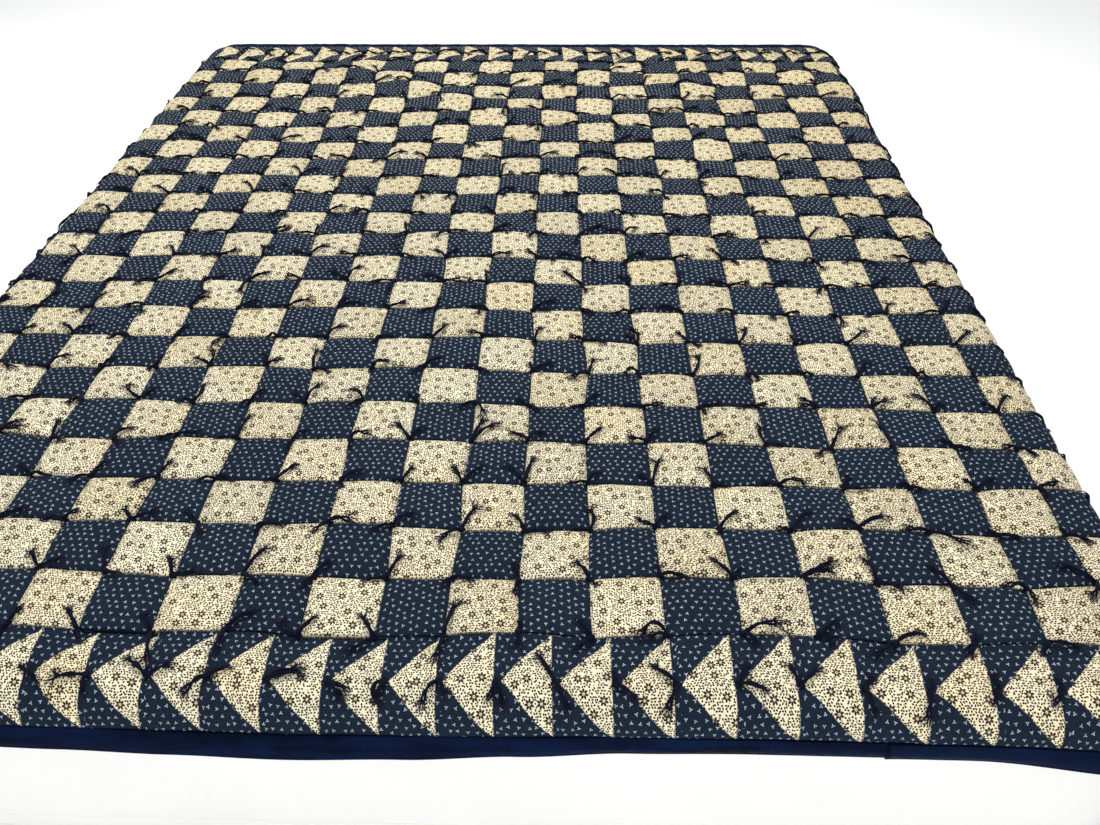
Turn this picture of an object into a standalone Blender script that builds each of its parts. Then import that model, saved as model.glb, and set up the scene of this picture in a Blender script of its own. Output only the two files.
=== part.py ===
"""Tied patchwork quilt lying over a plain mattress.

Metres, +Z up. +X runs across the bed, +Y runs from the foot to the head. The
quilt is laid out flat in pattern coordinates (u, v), where u = 0 and v = 0 are
the seams between the checkerboard and its left and foot borders. lay() then
drapes that pattern over the rounded edges of the mattress.
"""

import math

import bpy
import numpy as np

# --- quilt, flat ---
PATCH = 0.075                 # finished patch, seam to seam
COLS, ROWS = 20, 22           # patches in the checkerboard
BORDER = 1.42 * PATCH         # width of the pieced border strips
BINDING = 0.33 * PATCH        # visible width of the edge binding
EDGE = BORDER + BINDING       # from the checkerboard's outer seam to the quilt's edge
WIDTH, LENGTH = COLS * PATCH, ROWS * PATCH

# --- quilt, through its thickness ---
TIED = 0.005                  # thickness at a tie or a seam
CROWN = 0.007                 # extra height at the middle of a patch
ROLL = 0.004                  # extra height of the two soft rolls of a border
GAP = 0.0003                  # between neighbouring pieces

# --- how it lies: where it stops being flat, as insets from the outer seams ---
FLAT_LEFT = 0.25 * PATCH
FLAT_RIGHT = WIDTH - 0.39 * PATCH
SKEW, MIDDLE = 0.017, 11 * PATCH   # its side seams slant over the bed's edges by this
FLAT_FOOT = -0.67 * PATCH
FLAT_HEAD = LENGTH + 1.55 * PATCH
FLAT_CORNER = 0.62 * PATCH    # plan radius of the flat part's corners
BEND = 0.034                  # radius of the quilt's upper face over an edge

# --- how steeply the edges hang, in degrees below level ---
SIDE_SLOPE, HEAD_SLOPE = 84.0, 75.0
FOOT_SLOPE = [
    # u in patches, degrees: the foot edge stands out left of its middle
    (0.0, 75.0), (3.5, 68.0), (5.0, 64.0), (6.5, 58.0), (8.0, 52.0), (9.5, 59.0),
    (11.0, 71.0), (12.5, 83.0), (14.0, 87.0), (17.0, 87.0), (18.5, 84.0), (20.0, 80.0),
]
FOOT_FLARE, HEAD_FLARE = 33.0, 10.0   # how much less steep it is at a corner
FLARE_RADIUS, FLARE_REACH = 0.090, 0.150

# --- mattress ---
MATTRESS_HEIGHT = 0.250
CLEAR = 0.003                 # from its side faces to the quilt's lining side
TOP_RADIUS, BOTTOM_RADIUS = 0.031, 0.018
CORNER_EASE = 0.008           # extra plan radius of its corners

# --- yarn ties along the middle of the foot border, one to each pieced triangle ---
TIES = 25
TIE_FIRST, TIE_PITCH = 0.68 * PATCH, 0.786 * PATCH
TIE_BEFORE = 0.0025           # a tie is sewn just before its triangle's point
YARN = 0.0042                # diameter of the doubled yarn

# Long soft folds of the top, each a straight ridge from one point of the
# pattern to the next. Positions and half width are in patches, height in metres.
FOLDS = [
    # from_u, from_v, to_u, to_v, height, half_width
    (2.6, 21.25, 5.4, 20.85, 0.0105, 0.42),
    (5.4, 20.85, 7.2, 19.85, 0.0100, 0.40),
    (7.2, 19.85, 9.6, 18.15, 0.0110, 0.38),
    (9.6, 18.15, 13.0, 17.00, 0.0105, 0.40),
    (13.0, 17.00, 15.4, 15.95, 0.0070, 0.38),
    (11.8, 21.10, 15.2, 19.85, 0.0080, 0.40),
    (18.2, 21.40, 20.0, 19.60, 0.0075, 0.45),
    (7.8, 11.20, 10.4, 10.70, 0.0045, 0.50),
]

# Slow waves of the hanging edges: how many degrees, over how many metres.
HEM_WAVES = [
    # degrees, wavelength, phase
    (2.0, 0.61, 0.4),
    (1.5, 0.37, 2.1),
    (0.8, 0.23, 4.4),
]


def smooth(t):
    t = min(max(t, 0.0), 1.0)
    return t * t * (3.0 - 2.0 * t)


def hem_wave(along):
    return sum(a * math.sin(2.0 * math.pi * along / w + p) for a, w, p in HEM_WAVES)


def foot_slope(u):
    """How steeply the foot edge hangs at this place along it, in degrees."""
    for (u0, a0), (u1, a1) in zip(FOOT_SLOPE, FOOT_SLOPE[1:]):
        if u <= u1 * PATCH:
            break
    return a0 + (a1 - a0) * smooth((u / PATCH - u0) / (u1 - u0))


def slope_limit(n, cx, cy, at_foot, corner_distance):
    """The steepest angle the cloth reaches in this direction, in radians."""
    end = foot_slope(cx + SKEW * (FLAT_FOOT - MIDDLE)) if at_foot else HEAD_SLOPE
    base = SIDE_SLOPE * n[0] ** 2 + end * n[1] ** 2
    flare = FOOT_FLARE if at_foot else HEAD_FLARE
    reach = math.pi / 4.0 * FLARE_RADIUS + FLARE_REACH
    share = math.cos(0.5 * math.pi * min(corner_distance / reach, 1.0)) ** 2
    waves = hem_wave(cx + cy) * (1.0 - share) * (n[0] ** 2 if at_foot else 1.0)
    return math.radians(base - flare * share + waves)


def lay(u, v):
    """The place and the outward normal of a pattern point at tie level. Seams run
    along +Y, and the bed's side edges slant under them."""
    place, normal = lay_square(u - SKEW * (v - MIDDLE), v)
    place[0] += SKEW * (place[1] - MIDDLE)
    normal[1] -= SKEW * normal[0]
    return place, normal / np.linalg.norm(normal)


def lay_square(u, v):
    """lay() as it would be with the seams along the bed's edges."""
    low_x, high_x = FLAT_LEFT + FLAT_CORNER, FLAT_RIGHT - FLAT_CORNER
    low_y, high_y = FLAT_FOOT + FLAT_CORNER, FLAT_HEAD - FLAT_CORNER
    cx, cy = min(max(u, low_x), high_x), min(max(v, low_y), high_y)
    dx, dy = u - cx, v - cy
    reach = math.hypot(dx, dy)
    if reach <= FLAT_CORNER:
        return np.array((u, v, 0.0)), np.array((0.0, 0.0, 1.0))
    n = np.array((dx / reach, dy / reach))
    beyond = reach - FLAT_CORNER
    at_foot = v < 0.5 * LENGTH
    if dx != 0.0 and dy != 0.0:
        corner = abs(math.atan2(abs(dy), abs(dx)) - math.pi / 4.0) * FLARE_RADIUS
    else:
        if dy == 0.0:
            away = min(cy - low_y, high_y - cy)
            at_foot = cy - low_y < high_y - cy
        else:
            away = min(cx - low_x, high_x - cx)
        corner = math.pi / 4.0 * FLARE_RADIUS + away
    limit = slope_limit(n, cx, cy, at_foot, corner)
    angle = min(beyond / BEND, limit)
    out = BEND * math.sin(angle)
    down = BEND * (1.0 - math.cos(angle))
    straight = max(beyond - BEND * limit, 0.0)
    out += straight * math.cos(limit)
    down += straight * math.sin(limit)
    place = np.array((cx + n[0] * (FLAT_CORNER + out), cy + n[1] * (FLAT_CORNER + out), -down))
    normal = np.array((n[0] * math.sin(angle), n[1] * math.sin(angle), math.cos(angle)))
    return place, normal


def fold_height(u, v):
    """The long folds of the whole quilt at a pattern point."""
    height = 0.0
    for from_u, from_v, to_u, to_v, top, half in FOLDS:
        ax, ay, bx, by = (PATCH * c for c in (from_u, from_v, to_u, to_v))
        ex, ey = bx - ax, by - ay
        t = ((u - ax) * ex + (v - ay) * ey) / (ex * ex + ey * ey)
        t = min(max(t, 0.0), 1.0)
        away = math.hypot(u - ax - t * ex, v - ay - t * ey) / (half * PATCH)
        height = max(height, top * math.exp(-away * away))
    return height


def patch_crown(u, v):
    a, b = math.sin(math.pi * u / PATCH), math.sin(math.pi * v / PATCH)
    return CROWN * math.sqrt(abs(a * b))


def border_roll(across):
    """Two rolls, one each side of the tie row along a border's middle."""
    return ROLL * abs(math.sin(2.0 * math.pi * across / BORDER))


def panel_top(u, v):
    return patch_crown(u, v) + fold_height(u, v)


def end_border_top(u, v):
    across = -v if v < 0.0 else v - LENGTH
    return border_roll(max(across, 0.0)) + fold_height(u, v)


def side_border_top(u, v):
    across = -u if u < 0.0 else u - WIDTH
    return border_roll(max(across, 0.0)) + fold_height(u, v)


def binding_top(across):
    """The folded binding stands a little proud and rounds off at the edge."""
    t = (across - BORDER) / BINDING
    return 0.0016 * math.sin(math.pi * min(t * 1.15, 1.0)) - 0.0016 * smooth((t - 0.6) / 0.4)


def binding_under(across):
    t = (across - BORDER) / BINDING
    return TIED - 0.0014 * smooth((t - 0.6) / 0.4)


def end_binding_top(u, v):
    return binding_top(-v if v < 0.0 else v - LENGTH) + fold_height(u, v)


def side_binding_top(u, v):
    return binding_top(-u if u < 0.0 else u - WIDTH) + fold_height(u, v)


def end_binding_under(u, v):
    return binding_under(-v if v < 0.0 else v - LENGTH)


def side_binding_under(u, v):
    return binding_under(-u if u < 0.0 else u - WIDTH)


def even_under(u, v):
    return TIED


def material(name, colour, roughness):
    made = bpy.data.materials.new(name)
    made.use_nodes = True
    shader = made.node_tree.nodes["Principled BSDF"]
    shader.inputs["Base Color"].default_value = (*colour, 1.0)
    shader.inputs["Roughness"].default_value = roughness
    shader.inputs["Metallic"].default_value = 0.0
    made.diffuse_color = (*colour, 1.0)
    return made


def add_object(name, points, faces, finish, shift):
    mesh = bpy.data.meshes.new(name)
    moved = [tuple(float(c) for c in np.asarray(p) + shift) for p in points]
    mesh.from_pydata(moved, [], faces)
    mesh.validate()
    mesh.shade_smooth()
    mesh.set_sharp_from_angle(angle=math.radians(40.0))
    mesh.materials.append(finish)
    made = bpy.data.objects.new(name, mesh)
    bpy.context.collection.objects.link(made)
    return made


def sheet(us, vs, top, under, crowned=False):
    """A closed slab over a grid of pattern lines, with a middle point in each
    cell of a crowned one. us and vs rise. A slanting line of us is a function of v."""
    columns, rows = len(us), len(vs)
    grid = [[u(v) if callable(u) else u for u in us] for v in vs]
    points, faces = [], []
    for v, line in zip(vs, grid):
        for u in line:
            place, normal = lay(u, v)
            points.append(place + normal * top(u, v))
    lower = len(points)
    for v, line in zip(vs, grid):
        for u in line:
            place, normal = lay(u, v)
            points.append(place - normal * under(u, v))

    def at(i, j):
        return j * columns + i

    for j in range(rows - 1):
        for i in range(columns - 1):
            a, b, c, d = at(i, j), at(i + 1, j), at(i + 1, j + 1), at(i, j + 1)
            if crowned:
                u = 0.25 * (grid[j][i] + grid[j][i + 1] + grid[j + 1][i] + grid[j + 1][i + 1])
                v = 0.5 * (vs[j] + vs[j + 1])
                place, normal = lay(u, v)
                middle = len(points)
                points.append(place + normal * top(u, v))
                faces += [(a, b, middle), (b, c, middle), (c, d, middle), (d, a, middle)]
            else:
                faces += [(a, b, c), (a, c, d)]
            faces += [(lower + a, lower + c, lower + b), (lower + a, lower + d, lower + c)]

    def wall(first, second, turned):
        # the diagonal is the same whichever side the wall faces, so the walls of
        # two neighbours stay parallel
        if turned:
            return [(first, lower + first, second), (second, lower + first, lower + second)]
        return [(first, second, lower + first), (second, lower + second, lower + first)]

    for i in range(columns - 1):
        faces += wall(at(i, 0), at(i + 1, 0), True)
        faces += wall(at(i, rows - 1), at(i + 1, rows - 1), False)
    for j in range(rows - 1):
        faces += wall(at(0, j), at(0, j + 1), False)
        faces += wall(at(columns - 1, j), at(columns - 1, j + 1), True)
    return points, faces


def ring_outline(outset):
    """A rounded rectangle in plan, this far outside the flat part."""
    inset = FLAT_CORNER + CORNER_EASE
    radius = inset + outset
    corners = [
        (FLAT_RIGHT - inset, FLAT_HEAD - inset, 0.0),
        (FLAT_LEFT + inset, FLAT_HEAD - inset, 90.0),
        (FLAT_LEFT + inset, FLAT_FOOT + inset, 180.0),
        (FLAT_RIGHT - inset, FLAT_FOOT + inset, 270.0),
    ]
    steps = 6
    square = [
        (x + radius * math.cos(a), y + radius * math.sin(a))
        for x, y, start in corners
        for a in (math.radians(start + 90.0 * k / steps) for k in range(steps + 1))
    ]
    return [(x + SKEW * (y - MIDDLE), y) for x, y in square]


def mattress():
    """A plain block with rolled edges: rings of one outline, from the top down."""
    top = -TIED - GAP
    face = BEND - TIED - CLEAR           # side faces, measured outside the flat part
    profile = []
    start = face - TOP_RADIUS
    for k in range(7):
        a = math.radians(90.0 * k / 6)
        profile.append((start + TOP_RADIUS * math.sin(a), top - TOP_RADIUS * (1.0 - math.cos(a))))
    bottom = top - MATTRESS_HEIGHT
    for k in range(5):
        a = math.radians(90.0 * k / 4)
        profile.append((face - BOTTOM_RADIUS * (1.0 - math.cos(a)), bottom + BOTTOM_RADIUS * (1.0 - math.sin(a))))
    points, faces = [], []
    count = 0
    for outset, z in profile:
        outline = ring_outline(outset)
        count = len(outline)
        points += [(x, y, z) for x, y in outline]
    for k in range(len(profile) - 1):
        for i in range(count):
            a, b = k * count + i, k * count + (i + 1) % count
            faces.append((a, a + count, b + count, b))
    faces.append(tuple(range(count)))
    last = (len(profile) - 1) * count
    faces.append(tuple(range(last + count - 1, last - 1, -1)))
    return points, faces


def goose_drift(u):
    """How far the foot border's triangles are sewn off their even pitch."""
    return -0.0115 * math.exp(-(((u / PATCH - 13.2) / 3.6) ** 4))


def tie(index):
    """One doubled yarn tie: a small knot on the tie row with two short tails
    that lie over the border."""
    u, v = TIE_FIRST + index * TIE_PITCH, -0.5 * BORDER
    u += goose_drift(u) - TIE_BEFORE
    turn = 0.9 * math.sin(2.3 * index) + 0.35 * math.sin(5.1 * index + 1.0)
    first, second = 0.026 + 0.008 * math.sin(1.7 * index), 0.024 + 0.009 * math.cos(2.9 * index)
    steps = [(-1.0, 0.75), (-0.55, 0.95), (-0.1, 1.35), (0.1, 1.35), (0.55, 0.95), (1.0, 0.75)]
    sides = 5
    points, faces = [], []
    for along, wide in steps:
        length = first if along < 0.0 else second
        bend = turn + 0.5 * along * math.sin(3.7 * index)
        pu, pv = u + along * length * math.sin(bend), v - abs(along) * 0.25 * length + along * length * math.cos(bend) * 0.5
        place, normal = lay(pu, pv)
        radius = 0.5 * YARN * wide
        centre = place + normal * (end_border_top(pu, pv) + radius * 1.05 + 0.0009)
        ahead, _ = lay(pu + 0.001 * math.sin(bend), pv + 0.001 * (math.cos(bend) * 0.5 - math.copysign(0.25, along)))
        run = ahead - place
        run = run - normal * float(run @ normal)
        run = run / np.linalg.norm(run)
        across = np.cross(normal, run)
        for k in range(sides):
            a = 2.0 * math.pi * k / sides
            points.append(centre + radius * (math.cos(a) * across + math.sin(a) * normal))
    for s in range(len(steps) - 1):
        for k in range(sides):
            a, b = s * sides + k, s * sides + (k + 1) % sides
            faces.append((a, b, b + sides, a + sides))
    faces.append(tuple(range(sides - 1, -1, -1)))
    last = (len(steps) - 1) * sides
    faces.append(tuple(range(last, last + sides)))
    return points, faces


def main():
    for old in list(bpy.data.objects):
        bpy.data.objects.remove(old, do_unlink=True)

    navy = material("navy_print", (0.010, 0.016, 0.048), 0.85)
    checks = material("patchwork", (0.34, 0.28, 0.17), 0.85)
    binding = material("navy_binding", (0.010, 0.020, 0.070), 0.70)
    yarn = material("navy_yarn", (0.006, 0.008, 0.022), 0.90)
    ticking = material("mattress_cover", (0.78, 0.77, 0.74), 0.80)

    def left_start(v):
        return FLAT_LEFT + SKEW * (v - MIDDLE)

    def right_start(v):
        return FLAT_RIGHT + SKEW * (v - MIDDLE)

    def left_half(v):
        return 0.5 * left_start(v)

    def right_half(v):
        return 0.5 * (right_start(v) + WIDTH)

    columns = [0.0, left_half, left_start] + [PATCH * k for k in range(1, COLS)] + [right_start, right_half, WIDTH]
    rows = [PATCH * k for k in range(ROWS + 1)]
    overhang = [0.17, 0.34, 0.51, 0.80, 1.10]
    left = [-BORDER] + [-PATCH * k for k in reversed(overhang)] + [0.0]
    right = [WIDTH] + [WIDTH + PATCH * k for k in overhang] + [WIDTH + BORDER]
    # closer lines where the end borders go round the mattress's corners
    near_left, near_right = [0.20, 0.35, 0.50, 0.65], [18.80, 18.92, 19.12, 19.26]
    far_left, far_right = [0.56, 0.69, 0.82, 1.10], [19.20, 19.35, 19.50, 19.65]

    def end_lines(by_left, by_right):
        fixed = sorted(PATCH * k for k in by_left + by_right + list(range(1, COLS)))
        return (
            [-EDGE, -EDGE + 0.25 * BINDING, -EDGE + 0.6 * BINDING] + left[:-1]
            + columns[:3] + fixed + columns[-3:] + right[1:]
            + [WIDTH + EDGE - 0.6 * BINDING, WIDTH + EDGE - 0.25 * BINDING, WIDTH + EDGE]
        )

    full, full_head = end_lines(near_left, near_right), end_lines(far_left, far_right)
    foot = [-BORDER] + [-PATCH * k for k in (1.26, 1.10, 0.90, 0.70, 0.52, 0.35, 0.17)] + [-GAP]
    head = [LENGTH + GAP] + [LENGTH + PATCH * k for k in (0.35, 0.71, 0.95, 1.20)] + [LENGTH + BORDER]
    edge_steps = [0.0, 0.4, 0.75, 1.0]
    inner = [-BORDER - GAP] + [-BORDER - BINDING * k for k in edge_steps[1:]]
    low_edge = list(reversed(inner))

    def mirrored(lines, size):
        return [size - k for k in reversed(lines)]

    nodes = {
        "quilt_checkerboard": (sheet(columns, rows, panel_top, even_under, True), checks),
        "border_foot": (sheet([-BORDER] + full[4:-4] + [WIDTH + BORDER], foot, end_border_top, even_under), navy),
        "border_head": (sheet([-BORDER] + full_head[4:-4] + [WIDTH + BORDER], head, end_border_top, even_under), navy),
        "border_left": (sheet(left[:-1] + [-GAP], rows, side_border_top, even_under), navy),
        "border_right": (sheet([WIDTH + GAP] + right[1:], rows, side_border_top, even_under), navy),
        "binding_foot": (sheet(full, low_edge, end_binding_top, end_binding_under), binding),
        "binding_head": (sheet(full_head, mirrored(low_edge, LENGTH), end_binding_top, end_binding_under), binding),
        "binding_left": (sheet(low_edge, [-BORDER] + foot[1:-1] + rows + head[1:-1] + [LENGTH + BORDER], side_binding_top, side_binding_under), binding),
        "binding_right": (sheet(mirrored(low_edge, WIDTH), [-BORDER] + foot[1:-1] + rows + head[1:-1] + [LENGTH + BORDER], side_binding_top, side_binding_under), binding),
        "mattress": (mattress(), ticking),
    }
    for index in range(TIES):
        nodes[f"tie_{index + 1:02d}"] = (tie(index), yarn)

    every = np.array([p for (points, _), _ in nodes.values() for p in points])
    low, high = every.min(axis=0), every.max(axis=0)
    shift = -np.array((0.5 * (low[0] + high[0]), 0.5 * (low[1] + high[1]), low[2]))
    for name, ((points, faces), finish) in nodes.items():
        add_object(name, points, faces, finish, shift)


main()
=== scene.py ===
"""Looks of the tied patchwork quilt lying over a plain mattress.

Everything is worked out in the quilt's flat pattern coordinates (p, q), in
metres, with p = 0 and q = 0 on the seams between the checkerboard and its left
and foot borders. settle() moves the hand-sewn corners a little, lay() drapes
the pattern over the mattress, and top_height() puffs it between its ties.
"""

import math

import bpy
import numpy as np
from mathutils import Matrix, Quaternion, Vector


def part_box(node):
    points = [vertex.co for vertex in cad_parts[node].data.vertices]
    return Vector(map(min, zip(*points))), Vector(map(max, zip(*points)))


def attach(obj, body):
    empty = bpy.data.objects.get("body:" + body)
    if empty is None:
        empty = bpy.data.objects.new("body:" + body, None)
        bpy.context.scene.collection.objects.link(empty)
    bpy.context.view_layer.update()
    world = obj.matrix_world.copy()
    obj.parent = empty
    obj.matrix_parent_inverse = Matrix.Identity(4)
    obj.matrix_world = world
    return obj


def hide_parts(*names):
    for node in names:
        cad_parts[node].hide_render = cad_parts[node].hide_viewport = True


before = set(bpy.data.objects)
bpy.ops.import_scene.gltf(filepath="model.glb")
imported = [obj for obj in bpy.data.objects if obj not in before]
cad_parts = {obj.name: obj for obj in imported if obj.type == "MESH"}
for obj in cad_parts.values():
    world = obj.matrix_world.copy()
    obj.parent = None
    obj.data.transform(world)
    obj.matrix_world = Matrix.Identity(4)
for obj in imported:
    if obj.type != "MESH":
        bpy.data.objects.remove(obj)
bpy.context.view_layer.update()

# --- the sizes of part.py ---
PATCH = 0.075
COLS, ROWS = 20, 22
BORDER = 1.42 * PATCH
BINDING = 0.33 * PATCH
EDGE = BORDER + BINDING
WIDTH, LENGTH = COLS * PATCH, ROWS * PATCH
TIED = 0.005
GAP = 0.0003
FLAT_LEFT = 0.25 * PATCH
FLAT_RIGHT = WIDTH - 0.39 * PATCH
SKEW, MIDDLE = 0.017, 11 * PATCH
FLAT_FOOT = -0.67 * PATCH
FLAT_HEAD = LENGTH + 1.55 * PATCH
FLAT_CORNER = 0.62 * PATCH
BEND = 0.034
SIDE_SLOPE, HEAD_SLOPE = 84.0, 75.0
FOOT_SLOPE = [
    # u in patches, degrees: the foot edge stands out left of its middle
    (0.0, 75.0), (3.5, 68.0), (5.0, 64.0), (6.5, 58.0), (8.0, 52.0), (9.5, 59.0),
    (11.0, 71.0), (12.5, 83.0), (14.0, 87.0), (17.0, 87.0), (18.5, 84.0), (20.0, 80.0),
]
FOOT_FLARE, HEAD_FLARE = 33.0, 10.0
FLARE_RADIUS, FLARE_REACH = 0.090, 0.150
MATTRESS_HEIGHT = 0.250
CLEAR = 0.003
TOP_RADIUS, BOTTOM_RADIUS = 0.031, 0.018
CORNER_EASE = 0.008
TIES = 25
TIE_FIRST, TIE_PITCH = 0.68 * PATCH, 0.786 * PATCH
TIE_BEFORE = 0.0025
HEAD_FIRST, HEAD_PITCH = 1.26 * PATCH, 0.785 * PATCH
SIDE_TIES = 27
SIDE_FIRST, SIDE_PITCH = 0.62 * PATCH, 0.786 * PATCH
GOOSE = 0.898                 # a pieced triangle's length as a share of the pitch

FOLDS = [
    # from_u, from_v, to_u, to_v, height, half_width
    (2.6, 21.25, 5.4, 20.85, 0.0105, 0.42),
    (5.4, 20.85, 7.2, 19.85, 0.0100, 0.40),
    (7.2, 19.85, 9.6, 18.15, 0.0110, 0.38),
    (9.6, 18.15, 13.0, 17.00, 0.0105, 0.40),
    (13.0, 17.00, 15.4, 15.95, 0.0070, 0.38),
    (11.8, 21.10, 15.2, 19.85, 0.0080, 0.40),
    (18.2, 21.40, 20.0, 19.60, 0.0075, 0.45),
    (7.8, 11.20, 10.4, 10.70, 0.0045, 0.50),
]
HEM_WAVES = [
    # degrees, wavelength, phase
    (2.0, 0.61, 0.4),
    (1.5, 0.37, 2.1),
    (0.8, 0.23, 4.4),
]

# --- softness of the filled quilt ---
SEAM_RISE = 0.0013            # height of a seam halfway between its ties
PLATEAU = 0.0048              # how much higher the middle of a patch is
SHOULDER = 0.0080             # how far from a seam it falls off
BORDER_RISE = 0.0028          # height of a border between its ties
DIMPLE = 0.20 * PATCH         # how far a tie pulls the cloth down round it
PUCKER = 0.0012               # little radiating folds at each tie
BINDING_JOIN = 15.75 * PATCH  # where the foot binding's ends overlap

# The pattern's origin and tie level in the row frame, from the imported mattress.
low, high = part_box("mattress")
FACE = BEND - TIED - CLEAR
LEANS = SKEW * (FLAT_FOOT + FLAT_CORNER + CORNER_EASE - MIDDLE)
SHIFT = np.array((low.x - (FLAT_LEFT - FACE + LEANS), low.y - (FLAT_FOOT - FACE), low.z + MATTRESS_HEIGHT + GAP + TIED))


# ---------------------------------------------------------------- the surface

def smooth(t):
    t = np.clip(t, 0.0, 1.0)
    return t * t * (3.0 - 2.0 * t)


def noise(x, y, size, seed):
    """Smooth noise from -1 to 1 with this grid size, the same every run."""
    table = np.random.default_rng(seed).uniform(-1.0, 1.0, (61, 61))
    gx, gy = np.asarray(x) / size + 500.0, np.asarray(y) / size + 500.0
    ix, iy = np.floor(gx).astype(int), np.floor(gy).astype(int)
    sx, sy = smooth(gx - ix), smooth(gy - iy)
    a, b = table[ix % 61, iy % 61], table[(ix + 1) % 61, iy % 61]
    c, d = table[ix % 61, (iy + 1) % 61], table[(ix + 1) % 61, (iy + 1) % 61]
    return (a * (1 - sx) + b * sx) * (1 - sy) + (c * (1 - sx) + d * sx) * sy


def hem_wave(along):
    return sum(a * np.sin(2.0 * math.pi * along / w + f) for a, w, f in HEM_WAVES)


def foot_slope(u):
    """How steeply the foot edge hangs at these places along it, in degrees."""
    at, angle = (np.array([row[k] for row in FOOT_SLOPE]) for k in range(2))
    t = np.clip(u / PATCH, at[0], at[-1])
    k = np.clip(np.searchsorted(at, t) - 1, 0, len(at) - 2)
    return angle[k] + (angle[k + 1] - angle[k]) * smooth((t - at[k]) / (at[k + 1] - at[k]))


def lay(u, v):
    """The places and outward normals of pattern points at tie level. Seams run
    along +Y, and the bed's side edges slant under them."""
    u, v = np.broadcast_arrays(np.asarray(u, float), np.asarray(v, float))
    u = u - SKEW * (v - MIDDLE)
    low_x, high_x = FLAT_LEFT + FLAT_CORNER, FLAT_RIGHT - FLAT_CORNER
    low_y, high_y = FLAT_FOOT + FLAT_CORNER, FLAT_HEAD - FLAT_CORNER
    cx, cy = np.clip(u, low_x, high_x), np.clip(v, low_y, high_y)
    dx, dy = u - cx, v - cy
    reach = np.hypot(dx, dy)
    nx, ny = dx / np.maximum(reach, 1e-9), dy / np.maximum(reach, 1e-9)
    beyond = np.maximum(reach - FLAT_CORNER, 0.0)
    both, side = (dx != 0.0) & (dy != 0.0), dy == 0.0
    away = np.where(side, np.minimum(cy - low_y, high_y - cy), np.minimum(cx - low_x, high_x - cx))
    turned = np.abs(np.arctan2(np.abs(dy), np.abs(dx)) - math.pi / 4.0) * FLARE_RADIUS
    corner = np.where(both, turned, math.pi / 4.0 * FLARE_RADIUS + away)
    at_foot = np.where(side, cy - low_y < high_y - cy, v < 0.5 * LENGTH)
    base = SIDE_SLOPE * nx**2 + np.where(at_foot, foot_slope(cx + SKEW * (FLAT_FOOT - MIDDLE)), HEAD_SLOPE) * ny**2
    flare = np.where(at_foot, FOOT_FLARE, HEAD_FLARE)
    whole = math.pi / 4.0 * FLARE_RADIUS + FLARE_REACH
    share = np.cos(0.5 * math.pi * np.minimum(corner / whole, 1.0)) ** 2
    waves = hem_wave(cx + cy) * (1.0 - share) * np.where(at_foot, nx**2, 1.0)
    limit = np.radians(base - flare * share + waves)
    angle = np.minimum(beyond / BEND, limit)
    straight = np.maximum(beyond - BEND * limit, 0.0)
    out = BEND * np.sin(angle) + straight * np.cos(limit)
    down = BEND * (1.0 - np.cos(angle)) + straight * np.sin(limit)
    flat = np.minimum(reach, FLAT_CORNER)
    place = np.stack((cx + nx * (flat + out), cy + ny * (flat + out), -down), -1)
    normal = np.stack((nx * np.sin(angle), ny * np.sin(angle), np.cos(angle)), -1)
    place[..., 0] += SKEW * (place[..., 1] - MIDDLE)
    normal[..., 1] -= SKEW * normal[..., 0]
    normal /= np.linalg.norm(normal, axis=-1, keepdims=True)
    return place + SHIFT, normal


def outside(p, q):
    """How far a pattern point is outside the checkerboard, negative inside."""
    return np.maximum(np.maximum(-p, p - WIDTH), np.maximum(-q, q - LENGTH))


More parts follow.
